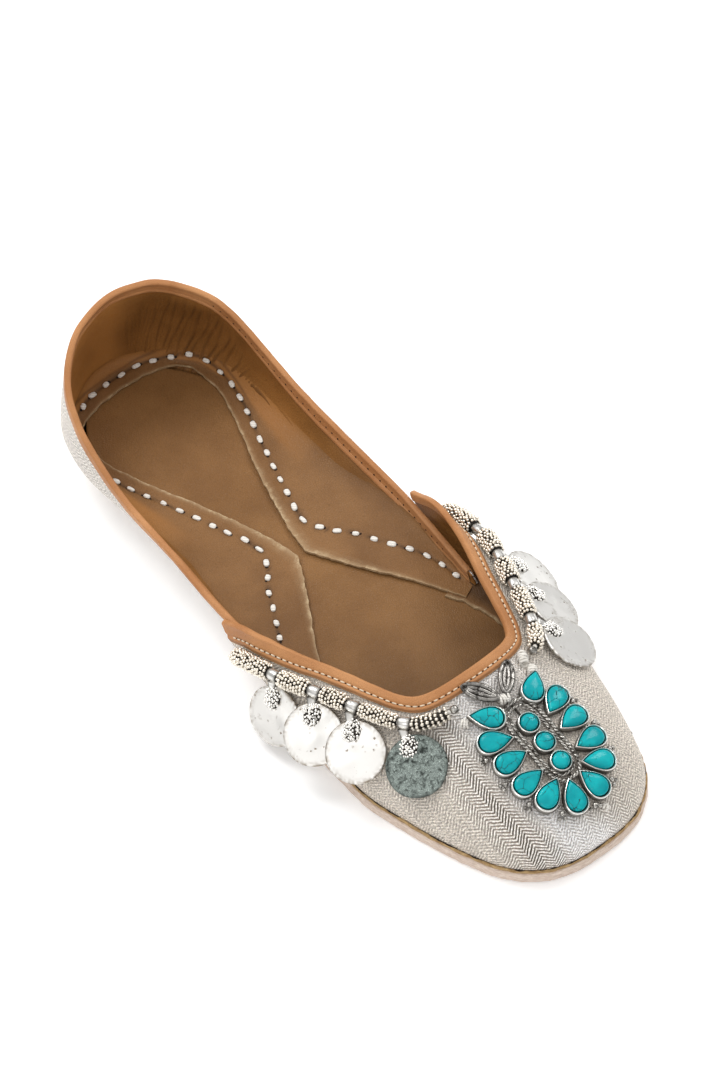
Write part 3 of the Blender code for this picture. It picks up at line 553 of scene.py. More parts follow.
def make_herringbone():
    """From a place on the flat cloth: rib or groove, which slant, relief, and flecks of the thread."""
    tree, given, give = start_group(
        "herringbone",
        [("Cut", "Vector", None), ("Column", "Float", COLUMN), ("Pitch", "Float", RIB_PITCH)],
        [("Rib", "Float"), ("Slant", "Float"), ("Height", "Float"), ("Fleck", "Float")],
    )
    sway = add(tree, "TexNoise", {"Vector": given["Cut"], "Scale": 0.35, "Detail": 2.0}).outputs["Color"]
    sway = add(tree, "VectorMath", {0: sway, 1: (0.5, 0.5, 0.5)}, operation="SUBTRACT").outputs[0]
    swayed = {0: sway, 1: (0.7, 0.7, 0.0), 2: given["Cut"]}
    cut = add(tree, "VectorMath", swayed, operation="MULTIPLY_ADD").outputs[0]
    cut = add(tree, "SeparateXYZ", {0: cut}).outputs
    zigzag = calc(tree, "PINGPONG", cut["X"], given["Column"])
    slant = calc(tree, "PINGPONG", calc(tree, "DIVIDE", cut["X"], given["Column"]), 1.0)
    both_ways = calc(tree, "MULTIPLY", given["Column"], 2.0)
    turned_back = calc(tree, "FRACT", calc(tree, "DIVIDE", cut["X"], both_ways))
    turned_back = calc(tree, "GREATER_THAN", turned_back, 0.5)
    phase = calc(tree, "FRACT", calc(tree, "DIVIDE", calc(tree, "ADD", cut["Y"], zigzag), given["Pitch"]))
    wave = calc(tree, "PINGPONG", calc(tree, "MULTIPLY", phase, 2.0), 1.0)
    rib = ramp(tree, wave, 0.28, 0.72)
    along_rib = calc(tree, "SUBTRACT", cut["Y"], zigzag)
    crossing = calc(tree, "SINE", calc(tree, "MULTIPLY", along_rib, tau / CROSSING_PITCH))
    thread = calc(tree, "MULTIPLY_ADD", crossing, 0.14, 0.86)
    fleck = noise(tree, given["Cut"], 1.5, 4.0, Roughness=0.8)
    seam = ramp(tree, calc(tree, "PINGPONG", slant, 0.5), 0.0, 0.12)
    height = calc(tree, "MULTIPLY", calc(tree, "MULTIPLY", rib, thread), seam)
    height = calc(tree, "MULTIPLY_ADD", fleck, 0.5, height)
    give(Rib=rib, Slant=turned_back, Height=height, Fleck=fleck)
    return tree


HERRINGBONE = make_herringbone()
print("group", HERRINGBONE.name, "with", len(HERRINGBONE.nodes), "nodes")

# %% The silver cloth
PLAIN_LIGHT, PLAIN_DARK = (0.68, 0.62, 0.55, 1), (0.52, 0.465, 0.40, 1)
# painted sheen: in the band the ribs are painted in strong light and shade, each slant in its own shade,
# and on the crest the cloth is painted bright as a highlight
SHEEN_BAND_LIGHT, SHEEN_BAND_DARK = (0.92, 0.86, 0.79, 1), (0.075, 0.055, 0.038, 1)
SHEEN_BAND_SLANT = (0.20, 0.16, 0.125, 1)
CREST_HIGHLIGHT, CREST_HIGHLIGHT_DARK = (1.0, 0.99, 0.99, 1), (0.60, 0.57, 0.55, 1)
RIB_DEPTH = 0.0003


def make_cloth():
    """The woven cloth, its ribs in painted light and shade and a painted highlight where its attributes
    say.
    """
    material, tree, shader = start_material("silver_weave", Metallic=0.4, Specular_Tint=(1, 0.97, 0.93, 1))
    cut = add(tree, "Attribute", attribute_name="cut").outputs["Vector"]
    bold, crest = attribute(tree, "bold"), attribute(tree, "crest")
    weave = place_group(tree, HERRINGBONE, Cut=cut)
    # painted light and shade: bold mixes in the band's rib colours, crest the crest's painted highlight
    deep = blend_colours(tree, weave["Slant"], SHEEN_BAND_DARK, SHEEN_BAND_SLANT)
    deep = blend_colours(tree, bold, PLAIN_DARK, deep)
    deep = blend_colours(tree, crest, deep, CREST_HIGHLIGHT_DARK)
    pale = blend_colours(tree, bold, PLAIN_LIGHT, SHEEN_BAND_LIGHT)
    pale = blend_colours(tree, crest, pale, CREST_HIGHLIGHT)
    colour = blend_colours(tree, weave["Rib"], deep, pale)
    glint = ramp(tree, weave["Fleck"], 0.38, 0.62, 0.56, 1.50)
    tone = add(tree, "CombineColor", {0: glint, 1: glint, 2: glint}).outputs[0]
    feed(tree, shader, {
        "Base Color": blend_colours(tree, 1.0, colour, tone, "MULTIPLY"),
        "Roughness": ramp(tree, weave["Fleck"], 0.3, 0.75, 0.55, 0.32),
        "Normal": bump(tree, weave["Height"], RIB_DEPTH),
    })
    return material


SILVER_WEAVE = make_cloth()
print("material", SILVER_WEAVE.name)

# %% [markdown]
# The cloth is cut flat and pulled over the last. To know where each point lay on the flat cut, each rib
# of the vamp is laid down straight from its edge, and each rib of the quarter side by side along it. The
# outer skin is half of the wall, and the leather lining is the other half. The metal threads' sheen is
# painted: the zigzags get strong painted light and shade in a band along the right of the crest, a painted
# highlight on top, and stay faint elsewhere. Two values painted on the mesh say how much, because a
# texture could not know where the crest is.

# %% Skins of a wall
CLOTH = 0.9


def skived(drop):
    """How much of its thickness a layer keeps near the edge, where it is pared for the binding."""
    return 0.52 + 0.48 * fade(drop, 1.0, 7.0)


def even_turns(wall, count):
    """Turns at even steps along a wall's edge, and the run there in millimetres from the middle."""
    turns = np.linspace(-1, 1, 801)
    run = run_along(wall.at(turns, 0 * turns))
    even = np.linspace(0, run[-1], count)
    return np.interp(even, run, turns), even - run[-1] / 2


def wall_grid(wall, turns, falls):
    """Turn and fall at every point of a grid, with the drop there."""
    drop = wall.drops(turns, falls).T.ravel()
    return np.repeat(turns, len(falls)), np.tile(falls, len(turns)), drop


def skin(wall, turns, falls, near, far):
    """A closed skin between two depths under a wall's outer face, kept above the wall's foot."""
    turn, fall, _ = wall_grid(wall, turns, falls)
    face, normal = wall.at(turn, fall), wall.normal(turn, fall)
    foot = wall.at(turn, np.ones(len(turn)))[:, 2]
    layers = []
    for depth in (near, far):
        layer = face - normal * np.broadcast_to(depth, len(turn))[:, None]
        layer[:, 2] = np.maximum(layer[:, 2], foot)
        layers.append(layer)
    top, low = layers if wall.fans_out else layers[::-1]
    return closed_sheet(top, low, len(turns), len(falls))


print("edge of the quarter:", np.ptp(even_turns(QUARTER, 2)[1]).round(1), "mm")


# %% The vamp in cloth
def vamp_cut(turns, falls):
    """Where points of the vamp lay on the flat cloth: across the shoe and along it."""
    turn, fall, drop = wall_grid(VAMP, turns, falls)
    edge = VAMP.at(turn, np.zeros(len(turn)))[:, :2]
    foot = VAMP.at(turn, np.ones(len(turn)))[:, :2]
    flat = edge + unit(foot - edge) * drop[:, None]
    return np.column_stack([flat[:, 0], -flat[:, 1], np.zeros(len(flat))])


BAND_ROWS = (
    # station, and across, the middle of the band where the ribs get the strongest painted light and shade
    (185, -17.0), (197, -19.0), (205, -20.5), (217, -22.5),
    (229, -23.0), (238, -21.5), (247, -18.0), (251, -14.0),
)
BAND_INNER, BAND_OUTER = 4.6, 6.2
CREST_OFF, CREST_HALF = 9.5, 4.6
SHEEN_BAND_LEAST, SHEEN_BAND_MOST = 0.10, 0.95


def painted_vamp_sheen(points):
    """Painted sheen at points of the vamp: how hard the ribs are painted in light and shade, and the
    highlight.
    """
    across, station = points[:, 0], MIDDLE - points[:, 1]
    stations, middles = np.array(BAND_ROWS, float).T
    off = across - np.interp(station, stations, middles)
    waver = 0.25 * soft_noise(points, 18.0, 8)
    band = np.exp(-(off / np.where(off > 0, BAND_INNER, BAND_OUTER)) ** 2) * fade(station, 184, 200)
    toe = fade(station, 240, 249) * (1 - fade(across, 8, 24))
    throat = np.exp(-(across / 15) ** 2) * (1 - fade(station, 204, 222))
    # painted light and shade on the ribs: a band beside the crest, the toe and the throat
    bold = SHEEN_BAND_LEAST + band * (SHEEN_BAND_MOST + waver) + 0.45 * toe + 0.28 * throat + 0.06 * waver
    crest = np.exp(-((off - CREST_OFF) / CREST_HALF) ** 2) * fade(station, 188, 200) + 0.6 * throat
    # painted highlight along the crest, at the throat and at the toe
    crest = np.clip(crest + 0.75 * toe * np.exp(-(off - 13) ** 2 / 90), 0, 1) * (0.85 + waver)
    return np.clip(bold, 0, 1), np.clip(crest, 0, 1)


vamp_turns, _ = even_turns(VAMP, 221)
vamp_falls = np.linspace(0, 1, 56)
turn, fall, drop = wall_grid(VAMP, vamp_turns, vamp_falls)
bold, crest = painted_vamp_sheen(VAMP.at(turn, fall))
marks = {"cut": vamp_cut(vamp_turns, vamp_falls), "bold": bold, "crest": crest}
solid = skin(VAMP, vamp_turns, vamp_falls, 0.0, CLOTH * skived(drop))
make_piece("vamp_cloth", solid, SILVER_WEAVE, ["upper"], attributes=doubled(marks))

# %% The quarter in cloth
# the quarter takes an even share of the sheen band's and the crest highlight's painted colours
QUARTER_SHEEN_BAND, QUARTER_HIGHLIGHT = 0.16, 0.30
quarter_turns, quarter_run = even_turns(QUARTER, 281)
quarter_falls = np.linspace(0, 1, 36)
_, _, drop = wall_grid(QUARTER, quarter_turns, quarter_falls)
cut = np.column_stack([drop, np.repeat(quarter_run, len(quarter_falls)), 0 * drop])
marks = {"cut": cut, "bold": np.full(len(cut), QUARTER_SHEEN_BAND), "crest": np.full(len(cut), QUARTER_HIGHLIGHT)}
solid = skin(QUARTER, quarter_turns, quarter_falls, 0.0, CLOTH * skived(drop))
make_piece("quarter_cloth", solid, SILVER_WEAVE, ["upper"], attributes=doubled(marks))

# %% [markdown]
# ## Leather
# The lining, the insole and the bindings are leather of one kind in different tones. Its grain is small
# pebbles with pores between them, and its colour drifts softly over centimetres. This is one group for
# all of them: each material gives it a pebble size and gets back height, pores, drift and scuffs.

# %% The grain group
def make_grain():
    """From a place: relief of the pebbles, pores between them, drift of the colour, and scuffs."""
    tree, given, give = start_group(
        "hide_grain",
        [("Place", "Vector", None), ("Pebble", "Float", 1400.0), ("Drift", "Float", 45.0)],
        [("Height", "Float"), ("Pores", "Float"), ("Drift", "Float"), ("Scuff", "Float")],
    )
    pebble = add(tree, "TexVoronoi", {"Vector": given["Place"], "Scale": given["Pebble"]},
                 feature="DISTANCE_TO_EDGE").outputs["Distance"]
    dome = ramp(tree, pebble, 0.0, 0.35)
    fold_scale = calc(tree, "MULTIPLY", given["Pebble"], 0.3)
    fold = noise(tree, given["Place"], fold_scale, 4.0, Roughness=0.6, Distortion=0.6)
    drift = noise(tree, given["Place"], given["Drift"], 5.0)
    scuff_scale = calc(tree, "MULTIPLY", given["Drift"], 6.0)
    scuff = noise(tree, given["Place"], scuff_scale, 6.0, Roughness=0.75)
    height = calc(tree, "MULTIPLY_ADD", fold, 0.8, calc(tree, "MULTIPLY", dome, 0.5))
    pores = ramp(tree, pebble, 0.0, 0.09, 1.0, 0.0)
    give(Height=height, Pores=pores, Drift=ramp(tree, drift, 0.3, 0.7), Scuff=ramp(tree, scuff, 0.45, 0.75))
    return tree


HIDE_GRAIN = make_grain()
print("group", HIDE_GRAIN.name, "with", len(HIDE_GRAIN.nodes), "nodes")


# %% Leathers from one recipe
GRAIN_DEPTH = 0.00012


def make_leather(name, deep, pale, roughness, pebble=1400.0, raw=None, marks=None, rubbed=None):
    """A leather between two tones, with colours where edge, pressed (painted shade) and rubbed say 1."""
    material, tree, shader = start_material(name, Specular_IOR_Level=0.22)
    grain = place_group(tree, HIDE_GRAIN, Place=object_place(tree), Pebble=pebble)
    colour = blend_colours(tree, grain["Drift"], (*deep, 1), (*pale, 1))
    dirt = tuple(c * 0.45 for c in deep)
    colour = blend_colours(tree, calc(tree, "MULTIPLY", grain["Pores"], 0.35), colour, (*dirt, 1))
    # painted light: a lighter colour where the mesh's rubbed value says
    if rubbed:
        colour = blend_colours(tree, attribute(tree, "rubbed"), colour, (*rubbed, 1))
    # painted shade: a darker colour where the mesh's pressed value says
    if marks:
        colour = blend_colours(tree, attribute(tree, "pressed"), colour, (*marks, 1))
    if raw:
        worn = ramp(tree, grain["Scuff"], 0.0, 0.5, 0.45, 1.0)
        worn = calc(tree, "MULTIPLY", attribute(tree, "edge"), worn)
        colour = blend_colours(tree, worn, colour, (*raw, 1))
    rough = calc(tree, "MULTIPLY_ADD", grain["Pores"], 0.12, roughness)
    rough = calc(tree, "MULTIPLY_ADD", grain["Scuff"], 0.14, rough)
    relief = bump(tree, grain["Height"], GRAIN_DEPTH)
    feed(tree, shader, {"Base Color": colour, "Roughness": rough, "Normal": relief})
    return material


RAW_EDGE = (0.50, 0.37, 0.22)
# each marks colour is painted shade and each rubbed colour is painted light
BROWN_LINING = make_leather("brown_lining", (0.190, 0.080, 0.018), (0.300, 0.130, 0.033), 0.46,
                            marks=(0.050, 0.020, 0.005), rubbed=(0.430, 0.190, 0.050))
BROWN_INSOLE = make_leather("brown_insole", (0.180, 0.083, 0.025), (0.245, 0.119, 0.039), 0.42,
                            marks=(0.05, 0.026, 0.011))
BROWN_MARGIN = make_leather("brown_margin", (0.165, 0.076, 0.024), (0.240, 0.118, 0.042), 0.45,
                            raw=RAW_EDGE, marks=(0.040, 0.018, 0.006), rubbed=(0.330, 0.145, 0.040))
TAN_BINDING = make_leather("tan_binding", (0.40, 0.168, 0.060), (0.56, 0.268, 0.110), 0.42, pebble=1900.0,
                           raw=(0.56, 0.34, 0.17), marks=(0.085, 0.034, 0.012))
print("leathers:", [m.name for m in (BROWN_LINING, BROWN_INSOLE, BROWN_MARGIN, TAN_BINDING)])

# %% [markdown]
# ## The lining and its creases
# Leather pulled round the inside of the heel has too much length at the bottom, so it gathers. The main
# creases are listed one by one, each by where it starts and ends. Noise would be quicker, but it would not
# follow the pull of the leather from the collar to the stitches. Two smaller ones fill each space
# between neighbours, and long creases run beside the far seam.

# %% Crease tables
GATHER_ROWS = (
    # turn at the top, turn at the bottom, fall at the top, fall at the bottom, depth, half width
    (0.075, 0.090, 0.30, 0.80, 0.10, 0.55),
    (0.120, 0.130, 0.22, 0.90, 0.14, 0.55),
    (0.165, 0.172, 0.16, 0.97, 0.20, 0.60),
    (0.202, 0.200, 0.12, 0.98, 0.26, 0.60),
    (0.232, 0.226, 0.08, 0.97, 0.28, 0.60),
    (0.260, 0.250, 0.10, 0.99, 0.32, 0.65),
    (0.287, 0.274, 0.08, 0.96, 0.30, 0.60),
    (0.314, 0.299, 0.10, 0.98, 0.36, 0.65),
    (0.341, 0.324, 0.08, 0.97, 0.33, 0.65),
    (0.368, 0.350, 0.12, 0.99, 0.38, 0.65),
    (0.394, 0.374, 0.12, 0.97, 0.33, 0.60),
    (0.420, 0.400, 0.20, 0.98, 0.35, 0.65),
    (0.447, 0.424, 0.30, 0.99, 0.33, 0.65),
    (0.475, 0.450, 0.40, 0.97, 0.30, 0.60),
    (0.507, 0.480, 0.52, 0.99, 0.26, 0.60),
    (0.540, 0.512, 0.60, 0.99, 0.22, 0.60),
)
BETWEEN, SMALLER = (0.36, 0.68), (1, 1, 1, 0.96, 0.62, 0.8)
GATHER_SWAY = 0.0035
SEAM_CREASE_ROWS = (
    # turn at the start, turn at the end, fall at the start, fall at the end, depth, half width
    (0.48, 0.80, 0.74, 0.72, 0.35, 0.7),
    (0.54, 0.86, 0.82, 0.80, 0.40, 0.7),
    (0.60, 0.90, 0.66, 0.62, 0.28, 0.8),
)


print(len(GATHER_ROWS), "gathers and", len(SEAM_CREASE_ROWS), "seam creases")


# %% Creases from the tables
def fold(distance, depth, half):
    """A groove with a soft ridge on either side."""
    u = distance / half
    return -depth * (1 - 0.9 * u * u) * np.exp(-0.5 * u * u)


def quarter_folds(turn, fall, run, drop):
    """Height of the lining's creases."""
    height = np.zeros(len(turn))
    turns = np.unique(turn)
    runs = np.interp(turns, quarter_turns, quarter_run)
    main = np.array(GATHER_ROWS, float)
    small = [main[:-1] + (main[1:] - main[:-1]) * share for share in BETWEEN]
    small = np.concatenate(small) * SMALLER
    for i, (top_turn, low_turn, top, low, depth, half) in enumerate(np.concatenate([main, small])):
        share = np.clip((fall - top) / (low - top), 0, 1)
        sway = GATHER_SWAY * np.sin(9 * fall + 2.1 * i)
        centre = np.interp(top_turn + (low_turn - top_turn) * share + sway, turns, runs)
        reach = fade(fall, top - 0.05, top + 0.2) * (1 - fade(fall, low - 0.06, low + 0.02))
        height += fold(run - centre, depth, half) * reach
    for start, end, first, last, depth, half in SEAM_CREASE_ROWS:
        share = np.clip((turn - start) / (end - start), 0, 1)
        centre = first + (last - first) * share + 0.03 * np.sin(18 * turn)
        reach = fade(turn, start, start + 0.08) * (1 - fade(turn, end - 0.08, end))
        height += fold((fall - centre) * np.maximum(drop / np.maximum(fall, 0.05), 5), depth, half) * reach
    return height


print("beside a fold 1 mm deep the lining rises by", round(fold(2.0, 1.0, 1.0), 2), "mm")

# %% The linings of quarter and vamp
LINING_NEAR = CLOTH + 0.02


def make_lining(name, wall, columns, rows, folds=None):
    """The inner half of a wall, creased where folds says; painted shade in its creases, painted light at
    the heel.
    """
    turns, run = even_turns(wall, columns)
    falls = np.linspace(0, 1, rows)
    turn, fall, drop = wall_grid(wall, turns, falls)
    run = np.repeat(run, rows)
    height = folds(turn, fall, run, drop) if folds else np.zeros(len(turn))
    height = height + 0.10 * soft_noise(wall.at(turn, fall), 14.0, 5)
    # painted light: the lining is painted lighter on the near side of the heel and round its back
    rubbed = fade(turn, -0.55, -0.25) * (1 - fade(turn, 0.0, 0.12)) * (wall is QUARTER)
    # painted shade: the lining is darker in its creases
    marks = {"pressed": np.clip(-height * 1.5, 0, 0.5), "rubbed": rubbed}
    solid = skin(wall, turns, falls, LINING_NEAR * skived(drop), WALL * skived(drop) - height)
    make_piece(name, solid, BROWN_LINING, ["upper"], attributes=doubled(marks))


make_lining("quarter_lining", QUARTER, 981, 38, quarter_folds)
make_lining("vamp_lining", VAMP, 141, 24)

# %% [markdown]
# ## The insole
# The insole is a board covered in the same leather, polished a little by the foot. It is one skin over a
# slightly dished top. The bright patch in the heel is only sheen, so it is left to the lamps. Under the
# vamp the insole lies in shade, and this shade is painted: the leather there is painted darker, and a value
# on the mesh says how much.

# %% Insole
FLOOR_TOP, FLOOR_LOW = 10.0, 6.0


def insole_inset(station):
    """How far the insole lies inside the sole: less where walls flare, more at the quarter's front ends."""
    flare = 2.6 * fade(station, 12, 30) * (1 - fade(station, 180, 210))
    notch = 4.6 * fade(station, 116, 130) * (1 - fade(station, 151, 165))
    heel = 1.7 * (1 - fade(station, 40, 70))
    return 4.7 - flare + notch - heel


def make_insole():
    """A grid from side to side, from the heel's back to the toe, and a flat bottom."""
    station = SOLE_BACK + (LENGTH - SOLE_BACK) * (1 - np.cos(np.linspace(0.06, pi - 0.06, 171))) / 2
    place, normal = outline_frame(np.ones(len(station)), station)
    rim = place - normal * insole_inset(station)[:, None]
    share = np.sin(np.linspace(-pi / 2, pi / 2, 31))
    across, along = rim[:, None, 0] * share, rim[:, None, 1] * np.ones(len(share))
    plan = np.stack([across, along], axis=-1).reshape(-1, 2)
    ease = np.tile(0.35 * fade(np.abs(share), 0.985, 1.0) + 0.25 * (1 - share ** 2), len(station))
    waves = 0.05 * soft_noise(np.column_stack([plan, ease]), 30.0, 6)
    top = np.column_stack([plan, FLOOR_TOP - ease + waves])
    low = np.column_stack([plan, np.full(len(plan), FLOOR_LOW)])
    return closed_sheet(low, top, len(station), len(share))


insole_solid = make_insole()
# painted shade: the insole is painted darker under the vamp
shaded = 0.24 * fade(MIDDLE - insole_solid[0][:, 1], 115, 175)
make_piece("insole_leather", insole_solid, BROWN_INSOLE, ["insole"],
           attributes={"pressed": shaded})

# %% [markdown]
# ## The sewn margin
# At the bottom the lining turns inwards and is sewn down on the insole with thick cream thread. Its inner
# edge is cut freely: round at the heel, with two pointed lobes that nearly meet at the waist. Here it is
# a band that comes down from the wall in a cove, lies flat, and ends in a raw edge. The stitch line is
# pressed in, and the leather puffs a little between the stitches.

# %% The stitch line
MARGIN_TOP, MARGIN_LOW = 11.2, 10.3
MARGIN_ROWS = (
    # station and half gap of the inner edge, station of the rim that lies opposite
    (13.7, 0, 3), (14.3, 9, 5), (16.8, 17.6, 10), (23, 23, 20), (33, 23.6, 34), (46.5, 20, 48),
    (66, 12.4, 67), (82, 7, 82), (95, 3.2, 95), (104, 1.8, 104), (109, 4, 110), (116, 8, 118),
    (125, 13.5, 128), (136, 20.5, 138), (152, 28.5, 149.5),
)
SEAM_ROWS = (
    # station, half width of the stitch line from the heel's back to the front of the lobe
    (9.3, 0), (9.8, 8.5), (11.9, 15.2), (15.1, 20.5), (19.4, 25.0), (24.0, 27.3), (30.0, 28.1),
    (36.0, 27.7), (41.5, 26.6), (46.0, 25.4), (52.0, 23.2), (60.0, 20.0), (69.0, 17.0), (81.0, 13.0),
    (90.0, 10.0), (95.5, 9.2), (102.0, 12.0), (108.0, 17.0), (115.0, 21.0), (122.0, 25.0), (129.0, 29.0),
    (137.0, 31.4), (146.0, 32.0),
)
STITCH_PITCH = 6.1


def seam_points(pitch):
    """Evenly spaced points along the stitch line of one side, with their headings, in plan."""
    rows = np.array(SEAM_ROWS, float)
    at = np.linspace(0, len(rows) - 1, 600)
    line = np.column_stack([smooth_curve(np.arange(len(rows)), rows[:, 1], at),
                            MIDDLE - smooth_curve(np.arange(len(rows)), rows[:, 0], at)])
    run = run_along(line)
    stops = np.arange(pitch / 2, run[-1], pitch)
    along = lambda s: np.stack([np.interp(s, run, line[:, k]) for k in (0, 1)], axis=-1)
    return line, along(stops), unit(along(stops + 0.5) - along(stops - 0.5))


SEAM_LINE, STITCH_PLACES, STITCH_HEADINGS = seam_points(STITCH_PITCH)
print(len(STITCH_PLACES), "stitches on each side,", STITCH_PITCH, "mm apart")


# %% Seam and wall beside the margin
def to_seam(plan):
    """Distance of points in plan to the stitch line of their side, and to the nearest stitch."""
    half = np.column_stack([np.abs(plan[:, 0]), plan[:, 1]])
    line = np.linalg.norm(half[:, None] - SEAM_LINE[None, ::3], axis=2).min(axis=1)
    stitch = np.linalg.norm(half[:, None] - STITCH_PLACES[None], axis=2).min(axis=1)
    return line, stitch


def wall_landing(rim_station, height):
    """Where the lining's inner face stands at a height, opposite a station of the rim."""
    turns = np.linspace(0, 0.999, 200)
    turn = np.interp(rim_station, QUARTER.column("foot_station", turns), turns)
    falls = np.linspace(0, 1, 60)
    landing = []
    for t, level in zip(turn, np.broadcast_to(height, turn.shape)):
        column = np.full(len(falls), t)
        inner = QUARTER.at(column, falls) - QUARTER.normal(column, falls) * (WALL + 0.1)
        landing.append([np.interp(-level, -inner[:, 2], inner[:, k]) for k in (0, 1)])
    return np.array(landing)


print("lining's face beside the heel:", wall_landing(np.array([60.0]), MARGIN_TOP)[0].round(1))

# %% The margin itself
COVE, MARGIN_THICK, RAGGED = 3.4, 0.9, 0.22
PUFF, GROOVE, CURL = 0.16, 0.38, 0.20


def make_margin():
    """The margin's band, from its cut edge over the stitch line up into the cove, in painted light and
    shade.
    """
    at = np.linspace(0, len(MARGIN_ROWS) - 1, 190)
    station, half_gap, rim_station = (smooth_curve(np.arange(len(MARGIN_ROWS)), c, at)
                                      for c in np.array(MARGIN_ROWS, float).T)
    inner = np.column_stack([half_gap, MIDDLE - station])
    ragged = RAGGED * soft_noise(np.column_stack([inner, 0 * at]), 3.5, 11)
    inward = unit(np.gradient(inner, axis=0))[:, ::-1] * [1, -1]
    inner = inner + inward * ragged[:, None]
    inner[0, 0] = 0.0
    cove = COVE * (1 - fade(station, 116, 134))
    corner = wall_landing(rim_station, MARGIN_TOP + 0.2)
    landing = wall_landing(rim_station, MARGIN_TOP + 0.2 + cove)
    weights = np.linspace(0, 1, 26)
    top, low, edge = [], [], []
    for w in weights:
        plan = inner * (1 - w) ** 2 + corner * 2 * w * (1 - w) + landing * w * w
        line, stitch = to_seam(plan)
        puff = PUFF * fade(stitch, 0.8, 2.6) * np.exp(-(line / 1.8) ** 2)
        groove = -GROOVE * np.exp(-(line / 0.75) ** 2)
        curl = CURL * (1 - fade(w, 0.0, 0.10)) * soft_noise(np.column_stack([inner, 0 * at]), 16.0, 4)
        height = MARGIN_TOP + cove * w * w + groove + puff + curl
        top.append(np.column_stack([plan, height]))
        low.append(np.column_stack([plan, np.maximum(height - MARGIN_THICK, MARGIN_LOW)]))
        edge.append(np.full(len(at), 1.0 - fade(w, 0.012, 0.05)))
    band = [np.stack(rows, axis=1) for rows in (top, low)]
    both = [np.concatenate([rows[:0:-1] * [-1, 1, 1], rows]).reshape(-1, 3) for rows in band]
    edge = np.stack(edge, axis=1)
    edge = np.concatenate([edge[:0:-1], edge]).ravel()
    columns = 2 * len(at) - 1
    solid = closed_sheet(both[1], both[0], columns, len(weights))
    line, stitch = to_seam(both[0][:, :2])
    heelward = 1 - fade(station, 50, 85)
    heelward = np.concatenate([heelward[:0:-1], heelward])
    # painted light: towards the heel the band is painted lighter where it rises into the cove
    outside = np.outer(heelward, fade(weights, 0.35, 0.55)).ravel()
    # painted shade: a dark line in the crease beside the seam, towards the heel
    crease_shade = 0.5 * outside * np.exp(-((line - 1.7) / 0.4) ** 2)
    # painted shade: darker along the stitch groove and round each stitch
    pressed = 0.75 * np.exp(-(line / 0.5) ** 2) + 0.25 * np.exp(-(stitch / 1.6) ** 2)
    pressed = np.clip(np.maximum(pressed, crease_shade), 0, 1)
    return solid, doubled({"pressed": pressed, "edge": edge, "rubbed": outside})


margin_solid, margin_marks = make_margin()
make_piece("margin_leather", margin_solid, BROWN_MARGIN, ["lining_margin"],
           attributes=margin_marks, sharp=60)
MARGIN_SKIN = BVHTree.FromPolygons([Vector(p) for p in margin_solid[0]], margin_solid[1])

# %% [markdown]
# The vamp's lining has a margin of its own, turned under and sewn down along the inside of the toe. Only
# its far end shows, in front of the quarter's margin, as a band with a ragged edge that lies in the vamp's
# shade, and that shade is painted on it, darkest towards the wall.

# %% The vamp's margin
VAMP_MARGIN_ROWS = (
    # station, how far the band reaches in from the sole's outline
    (143, 16.0), (148, 14.6), (154, 14.2), (160, 13.6), (167, 13.2), (180, 13.0), (251, 13.0),
)
BAND_RIM = 4.6


def make_vamp_margin():
    """A band round the inside of the toe, from one wing to the other."""
    half = np.linspace(VAMP_MARGIN_ROWS[0][0], LENGTH - 0.4, 100)
    station = np.concatenate([half, half[-2::-1]])
    side = np.concatenate([np.ones(100), -np.ones(99)])
    place, normal = outline_frame(side, station)
    ragged = 0.35 * soft_noise(np.column_stack([place, 0 * station]), 5.0, 13)
    reach = np.interp(station, *np.array(VAMP_MARGIN_ROWS, float).T) + ragged
    weights, layers = np.linspace(0, 1, 9), []
    for top in (False, True):
        rows = []
        for w in weights:
            plan = place - normal * (reach + (BAND_RIM - reach) * w)[:, None]
            level = FLOOR_TOP + 0.05 + top * (0.75 + 0.9 * w ** 4)
            rows.append(np.column_stack([plan, np.full(len(plan), level)]))
        layers.append(np.stack(rows, axis=1).reshape(-1, 3))
    edge = np.tile(1 - fade(weights, 0.0, 0.1), len(station))
    # painted shade under the vamp: darker all over, most towards the wall
    pressed = np.tile(0.25 + 0.5 * fade(weights, 0.05, 0.5), len(station))
    marks = doubled({"edge": edge, "pressed": pressed})
    return closed_sheet(layers[0], layers[1], len(station), len(weights)), marks


solid, marks = make_vamp_margin()
make_piece("vamp_margin_leather", solid, BROWN_MARGIN, attributes=marks, sharp=60)

# %% [markdown]
# ## Thread
# All sewing is in thick cream thread. Each stitch is short, so it is a rounded pellet that lies along the
# seam with its ends tucked into awl holes. A curve with a bevel would also do, but pellets from one small
# ball can be laid by the hundred with one line of array work. A twist in the finish does the rest.

# %% Thread finish
CREAM, FINE_CREAM = (0.90, 0.86, 0.79), (0.84, 0.70, 0.52)
THREAD_SHADE, THREAD_DEPTH = 0.62, 0.00012


def make_thread(name, colour):
    """A twisted thread: bands of the twist and a little fuzz, darker in the hollows."""
    material, tree, shader = start_material(name, Roughness=0.75, Sheen_Weight=0.2, Specular_IOR_Level=0.3)
    place = object_place(tree)
    twist = add(tree, "TexWave", {"Vector": place, "Scale": 420.0, "Distortion": 2.0, "Detail": 2.0},
                bands_direction="DIAGONAL").outputs["Fac"]
    fuzz = noise(tree, place, 2400.0, 3.0)
    tone = calc(tree, "MULTIPLY_ADD", twist, 0.5, calc(tree, "MULTIPLY", fuzz, 0.5))
    shade = tuple(c * THREAD_SHADE for c in colour)
    colours = blend_colours(tree, tone, (*shade, 1), (*colour, 1))
    feed(tree, shader, {"Base Color": colours, "Normal": bump(tree, tone, THREAD_DEPTH)})
    return material


THREAD = make_thread("thread", CREAM)
FINE_THREAD = make_thread("fine_thread", FINE_CREAM)
